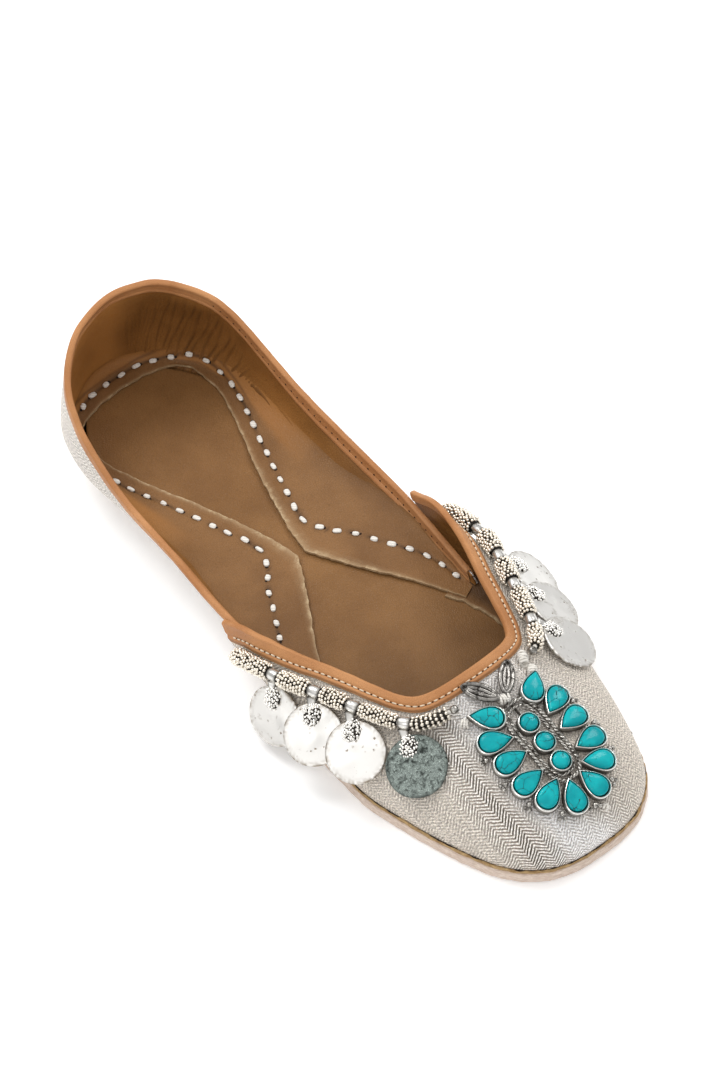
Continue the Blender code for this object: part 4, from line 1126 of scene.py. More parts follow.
# awl holes and pricks are dark pellets on the leather: painted shade inside each hole
AWL_HOLE = make_leather("awl_hole", (0.020, 0.010, 0.006), (0.030, 0.016, 0.009), 0.8)
PRICK = make_leather("prick", (0.050, 0.022, 0.010), (0.075, 0.034, 0.016), 0.8)
print("threads:", THREAD.name, FINE_THREAD.name, "in holes:", AWL_HOLE.name, PRICK.name)

# %% Pellets
import bmesh


def unit_ball(rounds):
    """Points and faces of a ball of radius 1."""
    made = bmesh.new()
    bmesh.ops.create_icosphere(made, subdivisions=rounds, radius=1.0)
    points = np.array([v.co for v in made.verts])
    faces = [tuple(v.index for v in face.verts) for face in made.faces]
    made.free()
    return points, faces


BALL = unit_ball(2)


def pellets(centres, frames, sizes, squareness=1.0):
    """Balls stretched along their own three axes; frames hold an axis in each row."""
    centres, frames = np.asarray(centres, float), np.asarray(frames, float)
    sizes = np.broadcast_to(np.asarray(sizes, float), (len(centres), 3))
    shape = np.sign(BALL[0]) * np.abs(BALL[0]) ** squareness
    points = centres[:, None] + np.einsum("ipk,ikj->ipj", shape[None] * sizes[:, None], frames)
    count = len(shape)
    faces = [tuple(k + i * count for k in face) for i in range(len(centres)) for face in BALL[1]]
    return points.reshape(-1, 3), faces


def grains(centres, radii):
    """Plain small balls."""
    upright = np.broadcast_to(np.eye(3), (len(centres), 3, 3))
    return pellets(centres, upright, np.asarray(radii, float)[:, None] * np.ones(3))


print("a pellet has", len(BALL[1]), "faces")

# %% Stitches of the margin
STITCH_SIZE, STITCH_SQUARE, STITCH_LIFT = (1.42, 0.88, 0.50), 0.72, 0.32
AWL_SIZE, AWL_REACH, AWL_LIFT = (0.50, 0.62, 0.10), 1.55, 0.02
OVERHEAD = 40.0
random = np.random.default_rng(21)


def margin_stitches():
    """Centres and frames of the stitches, and of the awl holes at their ends."""
    centres, frames, sizes, holes = [], [], [], []
    for sign in (-1.0, 1.0):
        for place, heading in zip(STITCH_PLACES, STITCH_HEADINGS):
            x, y = place + random.uniform(-0.25, 0.25, 2)
            hit, normal, _, _ = MARGIN_SKIN.ray_cast(Vector((sign * x, y, OVERHEAD)), Vector((0, 0, -1)))
            if hit is None:
                continue
            hit, out = np.array(hit), np.array(normal)
            lean = random.uniform(-0.2, 0.2)
            ahead = np.array([sign * (heading[0] + lean * heading[1]), heading[1] - lean * heading[0], 0.0])
            ahead = unit(ahead - out * (ahead @ out))
            centres.append(hit + out * STITCH_LIFT)
            frames.append(np.stack([ahead, np.cross(out, ahead), out]))
            sizes.append(np.array(STITCH_SIZE) * [random.uniform(0.8, 1.15), random.uniform(0.85, 1.15), 1])
            for end in (-1, 1):
                holes.append(hit + ahead * end * AWL_REACH + out * AWL_LIFT)
    return centres, frames, sizes, holes


centres, frames, sizes, holes = margin_stitches()
make_piece("margin_stitches", pellets(centres, frames, sizes, STITCH_SQUARE), THREAD)
hole_frames = np.repeat(frames, 2, axis=0)
# painted shade: a dark pellet at each end of a stitch stands for its awl hole
make_piece("margin_holes", pellets(holes, hole_frames, AWL_SIZE), AWL_HOLE)

# %% [markdown]
# ## The bindings
# A strip of tan leather is folded over each raw edge and sewn through. Its section is worked out once:
# up the face, round the fold, and down the back. Along the vamp the stitch line lies in a groove, and the
# strip's edge turns down below it. The quarter's strip shows a row of small pricks on its inner face.

# %% The folded section
BINDING_THICK, BINDING_NEAR, BINDING_END = 0.52, 0.08, 0.995
BINDINGS = {
    # wall, depth on the face and on the back, the same at the ends
    "quarter": (QUARTER, 3.6, 4.6, 2.6, 4.4),
    "vamp": (VAMP, 4.8, 2.4, 6.2, 2.4),
}
STITCH_ROOM = {"quarter": 1.55, "vamp": 2.0}


def binding_depths(name, turns):
    """How deep a strip reaches down the face and the back of its wall."""
    _, face, back_depth, face_end, back_end = BINDINGS[name]
    to_end = fade(np.abs(turns), 0.65, 0.9)
    return face + (face_end - face) * to_end, back_depth + (back_end - back_depth) * to_end


def binding_section(name, turns):
    """Drop, height out of the wall and nearness to a cut edge, for each point of the folded section."""
    face, back_depth = binding_depths(name, turns)
    room = STITCH_ROOM[name]
    near, far = BINDING_NEAR, BINDING_NEAR + BINDING_THICK
    behind = lambda drop: WALL * skived(drop) + BINDING_NEAR
    back = behind(0.0) + BINDING_THICK
    middle, half = (far - back) / 2, (far + back) / 2
    rows = [(face, near + 0 * face, 1.0), (face + 0.1, near + 0.35 + 0 * face, 1.0)]
    for k in np.concatenate([np.linspace(1, 0.9, 3), np.linspace(0.84, 0.06, 14)]):
        roll = -0.22 * fade(k, 0.84, 1.0)
        pressed = -0.34 * np.exp(-((face * (1 - k) - room) / 0.55) ** 2) * (name == "vamp")
        rows.append((face * k, far + roll + pressed + 0.10 * sin(pi * k), float(k > 0.97)))
    for angle in np.linspace(0.1, pi - 0.1, 11):
        rows.append((-far * sin(angle) + 0 * face, middle + half * cos(angle) + 0 * face, 0.0))
    for k in np.concatenate([np.linspace(0.06, 0.84, 9), np.linspace(0.9, 1, 3)]):
        roll = 0.25 * fade(k, 0.84, 1.0)
        pressed = 0.26 * np.exp(-((back_depth * (1 - k) - room) / 0.4) ** 2) * (name == "quarter")
        drop = back_depth * k
        rows.append((drop, -behind(drop) - BINDING_THICK + roll + pressed, float(k > 0.95)))
    rows += [(back_depth, -behind(back_depth), 0.5), (-near + 0 * face, -behind(0.0) + 0 * face, 0.0),
             (-near + 0 * face, near + 0 * face, 0.0)]
    return rows


print("section of a strip:", len(binding_section("vamp", np.zeros(1))), "points")


# %% Fold the strips
def make_binding(name, columns):
    """A folded strip, paler at its cut edges, with painted shade by the beads, along its fold and under the
    wing.
    """
    wall = BINDINGS[name][0]
    turns = np.clip(even_turns(wall, columns)[0], -BINDING_END, BINDING_END)
    turns[0], turns[-1] = -BINDING_END, BINDING_END
    rows = binding_section(name, turns)
    points = np.stack([wall.place(turns, drop, out) for drop, out, _ in rows], axis=1)
    ripple = 0.07 * soft_noise(points.reshape(-1, 3), 9.0, 3).reshape(points.shape[:2])
    points = points + ripple[:, :, None] * [0.3, 0.3, 1.0]
    faces = ring_faces(len(turns), len(rows))
    if wall.fans_out:
        faces = [face[::-1] for face in faces]
    edge = np.tile([row[2] for row in rows], len(turns))
    shade, face = [], binding_depths(name, turns)[0]
    fold_line = 1 - fade(np.abs(turns), 0.5, 0.7)
    # painted shadow: the quarter's strip under the far wing
    under_wing = 0.4 * fade(turns, 0.84, 0.95) * (name == "quarter")
    for drop, out, _ in rows:
        # painted shade on the vamp strip's lower edge, where it turns down beside the beads
        turned_down = fade(drop, face - 1.4, face - 0.3) * (out > 0) * (name == "vamp")
        # painted shade along the fold on the strip's back
        creased = under_wing + 0.75 * fold_line * np.exp(-((drop - 0.9) / 0.22) ** 2)
        shade.append(turned_down + creased * (out < 0))
    marks = {"edge": edge * 0.6, "pressed": 0.55 * np.stack(shade, axis=1).ravel()}
    solid = points.reshape(-1, 3), faces
    make_piece(f"{name}_strip", solid, TAN_BINDING, [f"{name}_binding"], attributes=marks)


make_binding("vamp", 421)
make_binding("quarter", 461)

# %% Sew the strips
BINDING_PITCH, PRICK_PITCH = 2.35, 2.9
SEWN_TURNS = np.linspace(-0.97, 0.97, 1200)
STRIP_HOLE_SIZE, PRICK_SIZE, PRICKS_FROM = (0.34, 0.30, 0.16), (0.36, 0.34, 0.22), 0.33


def along_edge(wall, pitch, drop, out):
    """Places at an even pitch along a wall's edge, with frames: along it, down it, out of it."""
    run = run_along(wall.place(SEWN_TURNS, drop, out))
    stops = np.arange(pitch / 2, run[-1], pitch)
    turn = np.interp(stops, run, SEWN_TURNS)
    drop = np.interp(stops, run, drop)
    place = wall.place(turn, drop, out)
    ahead = unit(wall.place(turn + 1e-3, drop, out) - wall.place(turn - 1e-3, drop, out))
    normal = wall.normal(turn, wall.fall_of_drop(turn, np.maximum(drop, 0.0)))
    side = unit(np.cross(normal, ahead))
    return place, np.stack([ahead, side, np.cross(ahead, side)], axis=1), turn


stitch_drop = binding_depths("vamp", SEWN_TURNS)[0] - STITCH_ROOM["vamp"]
place, frames, _ = along_edge(VAMP, BINDING_PITCH, stitch_drop, 0.50)
sizes = np.tile([0.0, 0.27, 0.28], (len(place), 1))
sizes[:, 0] = random.uniform(0.72, 0.88, len(place))
make_piece("vamp_strip_stitches", pellets(place, frames, sizes, 0.8), FINE_THREAD)
halfway = place + frames[:, 0] * BINDING_PITCH / 2 - frames[:, 2] * 0.12
# painted shade: a dark pellet between stitches stands for each awl hole
make_piece("vamp_strip_holes", pellets(halfway, frames, STRIP_HOLE_SIZE), PRICK)
prick_drop = 0.5 * binding_depths("quarter", SEWN_TURNS)[1]
strip_back = -(WALL * skived(2.2) + BINDING_NEAR + BINDING_THICK)
place, frames, turn = along_edge(QUARTER, PRICK_PITCH, prick_drop, strip_back + 0.1)
shown = np.abs(turn) > PRICKS_FROM
pricks = pellets(place[shown], frames[shown], PRICK_SIZE)
# painted shade: dark pellets for the pricks on the strip's inner face
make_piece("quarter_strip_pricks", pricks, AWL_HOLE)

# %% [markdown]
# ## The sole
# The sole's edge is cut by hand from pale, pinkish leather and left raw, so it is never quite even. Over
# it runs a thin layer in ochre, and a dark line of shadow shows where the cloth is pulled under. All are
# built from level outlines, moved in and out by a little seeded noise, with the bottom kept flat.

# %% Sole finishes
SOLE_DEPTH = 0.0004


def make_sole_leather(name, deep, pale, roughness):
    """Cut leather that shows its level fibres, with darker scars."""
    material, tree, shader = start_material(name, Specular_IOR_Level=0.25)
    place = object_place(tree)
    grain = place_group(tree, HIDE_GRAIN, Place=place, Pebble=900.0, Drift=70.0)
    stretched = add(tree, "Mapping", {"Vector": place, "Scale": (1.0, 1.0, 5.0)}).outputs[0]
    fibre = noise(tree, stretched, 420.0, 5.0, Roughness=0.7)
    colour = blend_colours(tree, ramp(tree, fibre, 0.35, 0.68), (*deep, 1), (*pale, 1))
    scar = tuple(c * 0.72 for c in deep)
    colour = blend_colours(tree, calc(tree, "MULTIPLY", grain["Scuff"], 0.45), colour, (*scar, 1))
    rough = calc(tree, "MULTIPLY_ADD", fibre, 0.2, roughness)
    relief = bump(tree, calc(tree, "MULTIPLY_ADD", grain["Height"], 0.4, fibre), SOLE_DEPTH)
    feed(tree, shader, {"Base Color": colour, "Roughness": rough, "Normal": relief})
    return material


SOLE_LEATHER = make_sole_leather("sole_leather", (0.62, 0.48, 0.39), (0.80, 0.68, 0.59), 0.7)
OCHRE_LAYER = make_sole_leather("ochre_layer", (0.30, 0.18, 0.075), (0.56, 0.385, 0.19), 0.6)
print("sole finishes:", SOLE_LEATHER.name, OCHRE_LAYER.name)


# %% Outsole and ochre layer
SOLE_COUNT, SOLE_WANDER, LUMP_SIZE = 211, 5.0, 7.0


def uneven_outline(inset, level, rough, seed):
    """An outline at a level, moved in and out by noise."""
    plan = inset_outline(SOLE_COUNT, inset)
    place = np.column_stack([plan, np.full(len(plan), level)])
    outward = unit(np.roll(plan, -1, axis=0) - np.roll(plan, 1, axis=0))[:, ::-1] * [1, -1]
    wander = 0.7 * soft_noise(place, SOLE_WANDER, seed)
    wander += 0.4 * soft_noise(place, SOLE_WANDER * 0.4, seed + 1)
    place[:, :2] += outward * (rough * wander)[:, None]
    return place


OUTSOLE_RINGS = (
    # inset, level, roughness
    (3.0, 0.0, 0.0), (1.0, 0.0, 0.1), (0.45, 0.15, 0.15), (0.12, 0.6, 0.2), (0.05, 1.3, 0.2),
    (0.05, 2.1, 0.24), (0.08, 2.9, 0.24), (0.12, 3.6, 0.22), (0.22, 4.1, 0.2), (0.6, 4.4, 0.15),
    (3.0, 4.4, 0.0),
)
MIDSOLE_RINGS = (
    (3.0, 4.7, 0.0), (0.6, 4.7, 0.2), (0.22, 4.85, 0.25), (0.12, 5.2, 0.28), (0.25, 5.55, 0.25),
    (0.7, 5.7, 0.2), (3.0, 5.7, 0.0),
)
SHADOW_RINGS = (
    (3.0, 5.72, 0.0), (0.85, 5.72, 0.4), (0.62, 5.84, 0.5), (0.80, 5.98, 0.4), (3.0, 6.02, 0.0),
)


def make_layer(rings, seed, lumps=0.0):
    """A layer of the sole through its rings; lumps makes its rough rings rise and fall."""
    outlines = [uneven_outline(*ring, seed) for ring in rings]
    for outline, (_, _, rough) in zip(outlines, rings):
        outline[:, 2] += lumps * (rough > 0) * soft_noise(outline, LUMP_SIZE, seed + 9)
    return np.concatenate(outlines), ring_faces(len(rings), len(outlines[0]))


make_piece("outsole_leather", make_layer(OUTSOLE_RINGS, 31), SOLE_LEATHER, ["outsole"])
make_piece("ochre_edge", make_layer(MIDSOLE_RINGS, 37, 0.10), OCHRE_LAYER, ["midsole"])
make_piece("sole_seam_shadow", make_layer(SHADOW_RINGS, 41, 0.12), AWL_HOLE)

# %% [markdown]
# ## Old silver
# Beads, coins and brooch are white metal that has darkened in its hollows. One group gives the tarnish:
# soft patches where the metal has dulled, and small pits. Each material then chooses its own bright and
# dark tone, so a polished coin, a blackened coin and a granulated bead share the same habit of wear.

# %% The tarnish group
def make_tarnish():
    """From a place: how dull the metal is, where it is pitted, and its relief."""
    tree, given, give = start_group(
        "tarnish",
        [("Place", "Vector", None), ("Patch", "Float", 220.0), ("Pit", "Float", 520.0),
         ("Amount", "Float", 0.5), ("Few", "Float", 0.84)],
        [("Dull", "Float"), ("Pits", "Float"), ("Height", "Float")],
    )
    patch = noise(tree, given["Place"], given["Patch"], 6.0, Roughness=0.65, Distortion=0.4)
    edge = calc(tree, "SUBTRACT", 0.78, calc(tree, "MULTIPLY", given["Amount"], 0.4))
    dull = add(tree, "MapRange", {0: patch, 1: edge, 2: calc(tree, "ADD", edge, 0.16)}).outputs[0]
    pit_cell = add(tree, "TexVoronoi", {"Vector": given["Place"], "Scale": given["Pit"]}).outputs
    chance = add(tree, "SeparateColor", {0: pit_cell["Color"]}).outputs[0]
    sparse = calc(tree, "GREATER_THAN", chance, given["Few"])
    ragged = noise(tree, given["Place"], 2600.0, 2.0)
    spot = calc(tree, "MULTIPLY_ADD", ragged, 0.5, pit_cell["Distance"])
    pits = calc(tree, "MULTIPLY", ramp(tree, spot, 0.34, 0.56, 1.0, 0.0), sparse)
    pits = calc(tree, "MULTIPLY", pits, ramp(tree, patch, 0.44, 0.56))
    height = calc(tree, "SUBTRACT", calc(tree, "MULTIPLY", patch, 0.6), pits)
    give(Dull=dull, Pits=pits, Height=height)
    return tree


TARNISH = make_tarnish()
print("group", TARNISH.name, "with", len(TARNISH.nodes), "nodes")

# %% Silvers from one table
SILVER_ROWS = {
    # bright tone, dark tone, roughness, amount of tarnish, sizes of patch and pit, how few the pits are
    "coin_silver": ((0.82, 0.80, 0.765), (0.28, 0.225, 0.165), 0.36, 0.40, 150.0, 560.0, 0.72),
    "coin_worn": ((0.80, 0.785, 0.755), (0.27, 0.235, 0.19), 0.38, 0.52, 170.0, 620.0, 0.62),
    "coin_dark": ((0.235, 0.272, 0.250), (0.040, 0.046, 0.042), 0.20, 0.74, 560.0, 1500.0, 0.4),
    "bezel_silver": ((0.90, 0.88, 0.84), (0.09, 0.08, 0.065), 0.22, 0.42, 650.0, 520.0, 0.84),
    "grain_silver": ((0.90, 0.835, 0.73), (0.27, 0.22, 0.165), 0.30, 0.46, 700.0, 520.0, 0.84),
    "rope_silver": ((0.50, 0.48, 0.445), (0.05, 0.044, 0.036), 0.26, 0.8, 700.0, 520.0, 0.84),
    "wire_silver": ((0.30, 0.285, 0.265), (0.03, 0.026, 0.022), 0.24, 0.75, 500.0, 520.0, 0.84),
    "black_silver": ((0.045, 0.040, 0.035), (0.012, 0.011, 0.010), 0.55, 0.5, 220.0, 520.0, 0.84),
}
PIT_DEPTH = {"coin_dark": 0.0012}
PLAIN_PIT_DEPTH = 0.0001


def make_silver(name):
    """One silver of the table, dark where the group says tarnish and where the mesh's hollow says."""
    bright, dark, roughness, amount, patch, pit, few = SILVER_ROWS[name]
    material, tree, shader = start_material(name, Metallic=1.0)
    place = object_place(tree)
    wear = place_group(tree, TARNISH, Place=place, Patch=patch, Pit=pit, Amount=amount, Few=few)
    mask = calc(tree, "MAXIMUM", wear["Dull"], wear["Pits"])
    # the mesh's value: tarnish towards the coins' rims and in the cups' hollows; painted shade on the
    # straps, low on the cups and round the stones
    mask = calc(tree, "MAXIMUM", mask, attribute(tree, "hollow"))
    feed(tree, shader, {
        "Base Color": blend_colours(tree, mask, (*bright, 1), (*dark, 1)),
        "Roughness": calc(tree, "MULTIPLY_ADD", mask, 0.3, roughness),
        "Normal": bump(tree, wear["Height"], PIT_DEPTH.get(name, PLAIN_PIT_DEPTH)),
    })
    return material


SILVER = {name: make_silver(name) for name in SILVER_ROWS}
print("silvers:", list(SILVER))

# %% [markdown]
# ## Strings of beads
# Each string lies on the vamp along the throat and is threaded through barrel beads. A bead is a stack of
# rings, and each ring is a crown of tiny soldered grains, so hundreds of grains make its surface. The
# grains are balls set round the string at an even pitch, every second ring turned by half a grain, over a
# blackened core that fills the gaps with shadow.

# %% The strings' routes
STRING_DROP, STRING_RADIUS = 8.8, 0.7
BEAD_RADIUS, BEAD_LIFT, BEAD_END_ROOM = 2.5, 0.35, 2.3
END_KNOT_RADIUS, END_ROOM = 1.7, {"right": 2.6, "left": 3.2}
SIDES = {"right": -1.0, "left": 1.0}
STRING_TURNS = {
    # turns of the vamp from the wing forwards: start, four coins, end
    "right": (0.95, 0.80, 0.67, 0.55, 0.39, 0.17),
    "left": (0.95, 0.81, 0.69, 0.575, 0.44, 0.25),
}


class Route:
    """A string's centre line on the vamp, measured by its run from the wing."""

    def __init__(self, side):
        start, *hangs, end = STRING_TURNS[side]
        turns = SIDES[side] * np.linspace(start, end, 160)
        self.path = VAMP.place(turns, STRING_DROP, BEAD_RADIUS + BEAD_LIFT)
        self.run = run_along(self.path)
        self.length = self.run[-1]
        self.stops = np.interp([-h for h in hangs], -np.abs(turns), self.run)

    def at(self, run):
        """Points at a run."""
        return np.stack([np.interp(run, self.run, self.path[:, k]) for k in range(3)], axis=-1)

    def frames(self, run):
        """Axes at each run: along the string, level across it, and up."""
        along = unit(self.at(run + 0.3) - self.at(run - 0.3))
        across = unit(np.cross(along, [0.0, 0.0, 1.0]))
        return np.stack([along, across, np.cross(across, along)], axis=1)


ROUTES = {side: Route(side) for side in SIDES}
print({side: f"{route.length:.1f} mm" for side, route in ROUTES.items()})


# %% Tubes
def tube(path, radius, sides, closed=False):
    """A round tube along a path; radius may change from point to point."""
    path = np.asarray(path, float)
    radius = np.broadcast_to(np.asarray(radius, float), len(path))
    if closed:
        along = unit(np.roll(path, -1, axis=0) - np.roll(path, 1, axis=0))
    else:
        along = unit(np.gradient(path, axis=0))
    across = unit(np.cross(along, [0.0, 0.0, 1.0]))
    lift = np.cross(along, across)
    angle = around(sides)
    ring = np.cos(angle)[None, :, None] * across[:, None] + np.sin(angle)[None, :, None] * lift[:, None]
    points = (path[:, None] + ring * radius[:, None, None]).reshape(-1, 3)
    if not closed:
        return points, ring_faces(len(path), sides)
    total = len(points)
    faces = ring_faces(len(path) + 1, sides, closed_ends=False)
    return points, [tuple(k % total for k in face) for face in faces]


print("tube of two rings:", len(tube([(0, 0, 0), (1, 0, 0)], 1.0, 8)[1]), "faces")

# %% Grains of a bead
GRAIN_RADIUS = 0.60


def bead_grains(route, low, high, pitch, radius):
    """Centres and sizes of a bead's grains: rings at a pitch, each ring a crown of grains."""
    rings = int(round((high - low - 2 * GRAIN_RADIUS) / pitch)) + 1
    runs = np.linspace(low + GRAIN_RADIUS, high - GRAIN_RADIUS, rings)
    centres, frames = route.at(runs), route.frames(runs)
    places = []
    for i in range(rings):
        swell = radius - (0.30 if i in (0, rings - 1) else 0.0) + random.uniform(-0.08, 0.08)
        count = int(tau * swell / (2 * GRAIN_RADIUS))
        angle = tau * (np.arange(count) + 0.5 * (i % 2)) / count + random.uniform(-0.09, 0.09, count)
        spread = swell + random.uniform(-0.14, 0.12, count)
        spoke = np.cos(angle)[:, None] * frames[i, 1] + np.sin(angle)[:, None] * frames[i, 2]
        sway = random.uniform(-0.14, 0.14, count)[:, None]
        places.append(centres[i] + spread[:, None] * spoke + frames[i, 0] * sway)
    places = np.concatenate(places)
    return places, GRAIN_RADIUS * random.uniform(0.78, 1.06, len(places))


print("grains of about", GRAIN_RADIUS, "mm radius")

# %% Beads and strings
RING_PITCH, RING_GAP = 1.12, 1.55
RING_RADIUS = {"right": 2.45, "left": 2.75}
SLIMMER = {
    # beads that are drawn slimmer, so that a coin swung up beside them passes
    ("left", 4): 0.25, ("left", 5): 0.60, ("right", 4): 0.25, ("right", 5): 0.30,
}


def string_beads(side):
    """A string with its five beads and the knot at its end."""
    route = ROUTES[side]
    last = route.length - END_ROOM[side]
    cord = tube(route.at(np.linspace(0, route.length, 60)), STRING_RADIUS, 12)
    make_piece(f"string_{side}_thread", cord, THREAD, [f"string_{side}"])
    lows = [0, *(route.stops + BEAD_END_ROOM)]
    highs = [*(route.stops - BEAD_END_ROOM), last - GAP]
    for i, (low, high) in enumerate(zip(lows, highs), 1):
        pitch = RING_GAP if (side, i) == ("right", 5) else RING_PITCH
        radius = RING_RADIUS[side] - SLIMMER.get((side, i), 0.0)
        bead = f"bead_{side}_{i}"
        solid = grains(*bead_grains(route, low, high, pitch, radius))
        make_piece(f"{bead}_grains", solid, SILVER["grain_silver"], [bead])
        runs = np.linspace(low + 0.2, high - 0.2, 14)
        waist = radius - 0.42 - 0.9 * (1 - fade(np.minimum(runs - low, high - runs), 0.2, 1.6))
        make_piece(f"{bead}_core", tube(route.at(runs), waist, 16), SILVER["black_silver"])
    end = grains(route.at(route.length - np.array([0.9])), (END_KNOT_RADIUS * 0.9,))
    make_piece(f"string_{side}_end", end, SILVER["rope_silver"], [f"string_{side}"])


for side in SIDES:
    string_beads(side)

# %% [markdown]
# ## Coins
# Eight plain discs hang from the strings, each by a flat strap that loops over the thread and ends in an
# oval boss of grains. A disc is hammered, so its face is full of shallow dents and its rim is not a true
# circle. A bump texture would not reach the rim, so the dents are moved into the mesh. The frame of each
# coin is worked out as in CAD: it tips about the string until it just clears the vamp.

# %% Heights over the vamp
def vamp_skin(turns=97, falls=33):
    """The vamp's outer face as a tree that answers where its surface is."""
    turn, fall = np.linspace(-1, 1, turns), np.linspace(0, 1, falls)
    points = VAMP.at(np.repeat(turn, falls), np.tile(fall, turns))
    faces = closed_sheet(points, points, turns, falls)[1][:(turns - 1) * (falls - 1)]
    return BVHTree.FromPolygons([Vector(p) for p in points], faces)


VAMP_SKIN = vamp_skin()


def height_over(points):
    """Heights of points over the vamp."""
    heights = []
    for point in points:
        nearest, normal, _, _ = VAMP_SKIN.find_nearest(Vector(point))
        heights.append((Vector(point) - nearest).dot(normal))
    return np.array(heights)


print("3 mm above the throat:", height_over([throat_point + [0, 0, 3.0]]).round(1), "mm over the vamp")

# %% Where each coin hangs
COIN_RADIUS, COIN_THICK, COIN_HANG, COIN_SHINGLE, COIN_CLEAR = 10.0, 0.9, 13.0, 6.0, 0.5
COIN_SHIFTS = (2.7, 4.0, 6.3, 5.9)
COIN_METALS, DARKENED = {"right": "coin_silver", "left": "coin_worn"}, {("right", 4): "coin_dark"}
BOSS_HANG, NECK_HANG, BAIL_OUTER = 7.15, 2.9, 2.0
COIN_TILTS = np.arange(-50, 40, 0.5)


def turned(vectors, axis, angle):
    """Vectors turned about an axis."""
    return vectors @ np.array(Matrix.Rotation(angle, 3, Vector(axis))).T


def coin_plane(side, shift, points):
    """Points of a flat disc, rolled and shifted as the coin hangs: X along the string, Y down, Z out."""
    rolled = turned(points, (0, 1, 0), SIDES[side] * radians(COIN_SHINGLE))
    return rolled + [SIDES[side] * shift, COIN_HANG, 0]


def coin_frame(side, place, along, shift):
    """Axes of a coin that lies on the vamp: along the string, down, out of its face."""
    _, normal, _, _ = VAMP_SKIN.find_nearest(Vector(place))
    axis = unit(along * SIDES[side])
    down = unit(np.cross(np.array(normal), axis))
    angle = around(16)
    ring = np.column_stack([np.cos(angle), np.sin(angle), 0 * angle]) * COIN_RADIUS
    half = COIN_THICK / 2
    rim = np.concatenate([coin_plane(side, shift, ring + [0, 0, z]) for z in (-half, half)])
    middle = rim.mean(axis=0)
    disc = np.concatenate([rim, (rim + middle) / 2, [middle - [0, 0, half]]])
    for tilt in COIN_TILTS:
        lay = turned(down, axis, radians(tilt))
        axes = np.stack([axis, lay, np.cross(axis, lay)])
        if height_over(place + disc @ axes).min() > COIN_CLEAR:
            break
    return axes


print("coins tip until they clear the vamp by", COIN_CLEAR, "mm")

# %% Hammer a disc
DENTS = 18
RIM_AND_BACK = (
    # share of the radius, level in thicknesses, whether the hammer strikes there
    (0.975, 0.44, 1), (1.0, 0.2, 0), (1.0, -0.2, 0), (0.975, -0.44, 0), (0.5, -0.5, 0), (0.02, -0.5, 0),
)


def hammered_disc(seed, rings=17, sides=84):
    """A disc with dents on its face, a soft rim and a flat back, and how dark it is along its rim."""
    dice = np.random.default_rng(seed)
    angle = around(sides)
    out_of_round = 1 + 0.008 * np.sin(2 * angle + dice.uniform(0, tau))
    out_of_round += 0.006 * np.sin(5 * angle + dice.uniform(0, tau))
    spot = np.column_stack([dice.uniform(-9, 9, DENTS), dice.uniform(-9, 9, DENTS)])
    size, depth = dice.uniform(1.4, 3.6, DENTS), dice.uniform(0.02, 0.09, DENTS)
    face = [(s, 0.5, 1) for s in np.linspace(0.08, 0.94, rings)]
    profile = [(0.02, 0.5, 1), *face, *RIM_AND_BACK]
    points, hollow = [], []
    for share, level, struck in profile:
        plan = np.column_stack([np.cos(angle), np.sin(angle)]) * COIN_RADIUS * share * out_of_round[:, None]
        far = np.linalg.norm(plan[:, None] - spot[None], axis=2)
        dent = (depth * np.exp(-(far / size) ** 2)).sum(axis=1) * struck
        points.append(np.column_stack([plan, COIN_THICK * level - dent + 0.10 * struck * share ** 4]))
        worn = np.clip(0.5 + 0.9 * soft_noise(np.column_stack([plan, 0 * angle + seed]), 1.6, 5), 0, 1)
        to_rim = np.interp(share, [0.80, 0.95, 0.99], [0.0, 0.55, 1.0])
        hollow.append(worn * to_rim * (level > -0.5))
    return (np.concatenate(points), ring_faces(len(profile), sides)), np.concatenate(hollow)


print("a disc has", len(hammered_disc(1)[0][1]), "faces")

# %% Boss of a coin
BOSS_GRAINS, BOSS_ACROSS, BOSS_LONG, MOUND_LONG = 50, 3.2, 3.85, 3.75
MOUND_RINGS = (
    # share of the mound's plan, level
    (1.0, 0.0), (0.98, 0.45), (0.8, 1.0), (0.5, 1.35), (0.1, 1.5),
)


def boss_grains(dice, radius=0.50):
    """Grains heaped on an oval mound, from its top down to its edge."""
    golden = pi * (3 - 5 ** 0.5)
    share = np.sqrt((np.arange(BOSS_GRAINS) + 0.5) / BOSS_GRAINS)
    angle = golden * np.arange(BOSS_GRAINS)
    plan = np.column_stack([BOSS_ACROSS * share * np.cos(angle), BOSS_LONG * share * np.sin(angle)])
    level = 0.45 + 1.45 * np.sqrt(np.clip(1 - share ** 2, 0, 1))
    places = np.column_stack([plan, level - radius * 0.4]) + dice.uniform(-0.22, 0.22, (BOSS_GRAINS, 3))
    return places, radius * dice.uniform(0.65, 1.2, BOSS_GRAINS)


def mound():
    """The dark mound under the grains."""
    angle = around(24)
    oval = np.column_stack([BOSS_ACROSS * np.cos(angle), MOUND_LONG * np.sin(angle)])
    rings = [np.column_stack([oval * share, level + 0 * angle]) for share, level in MOUND_RINGS]
    return np.concatenate(rings), ring_faces(len(rings), len(angle))


print("a boss has", BOSS_GRAINS, "grains")

# %% Strap of a coin
STRAP_TAIL, STRAP_TONGUE = ((0.35, -1.45),), ((2.6, 0.85), (3.6, 0.75), (4.6, 0.95), (5.4, 1.25))


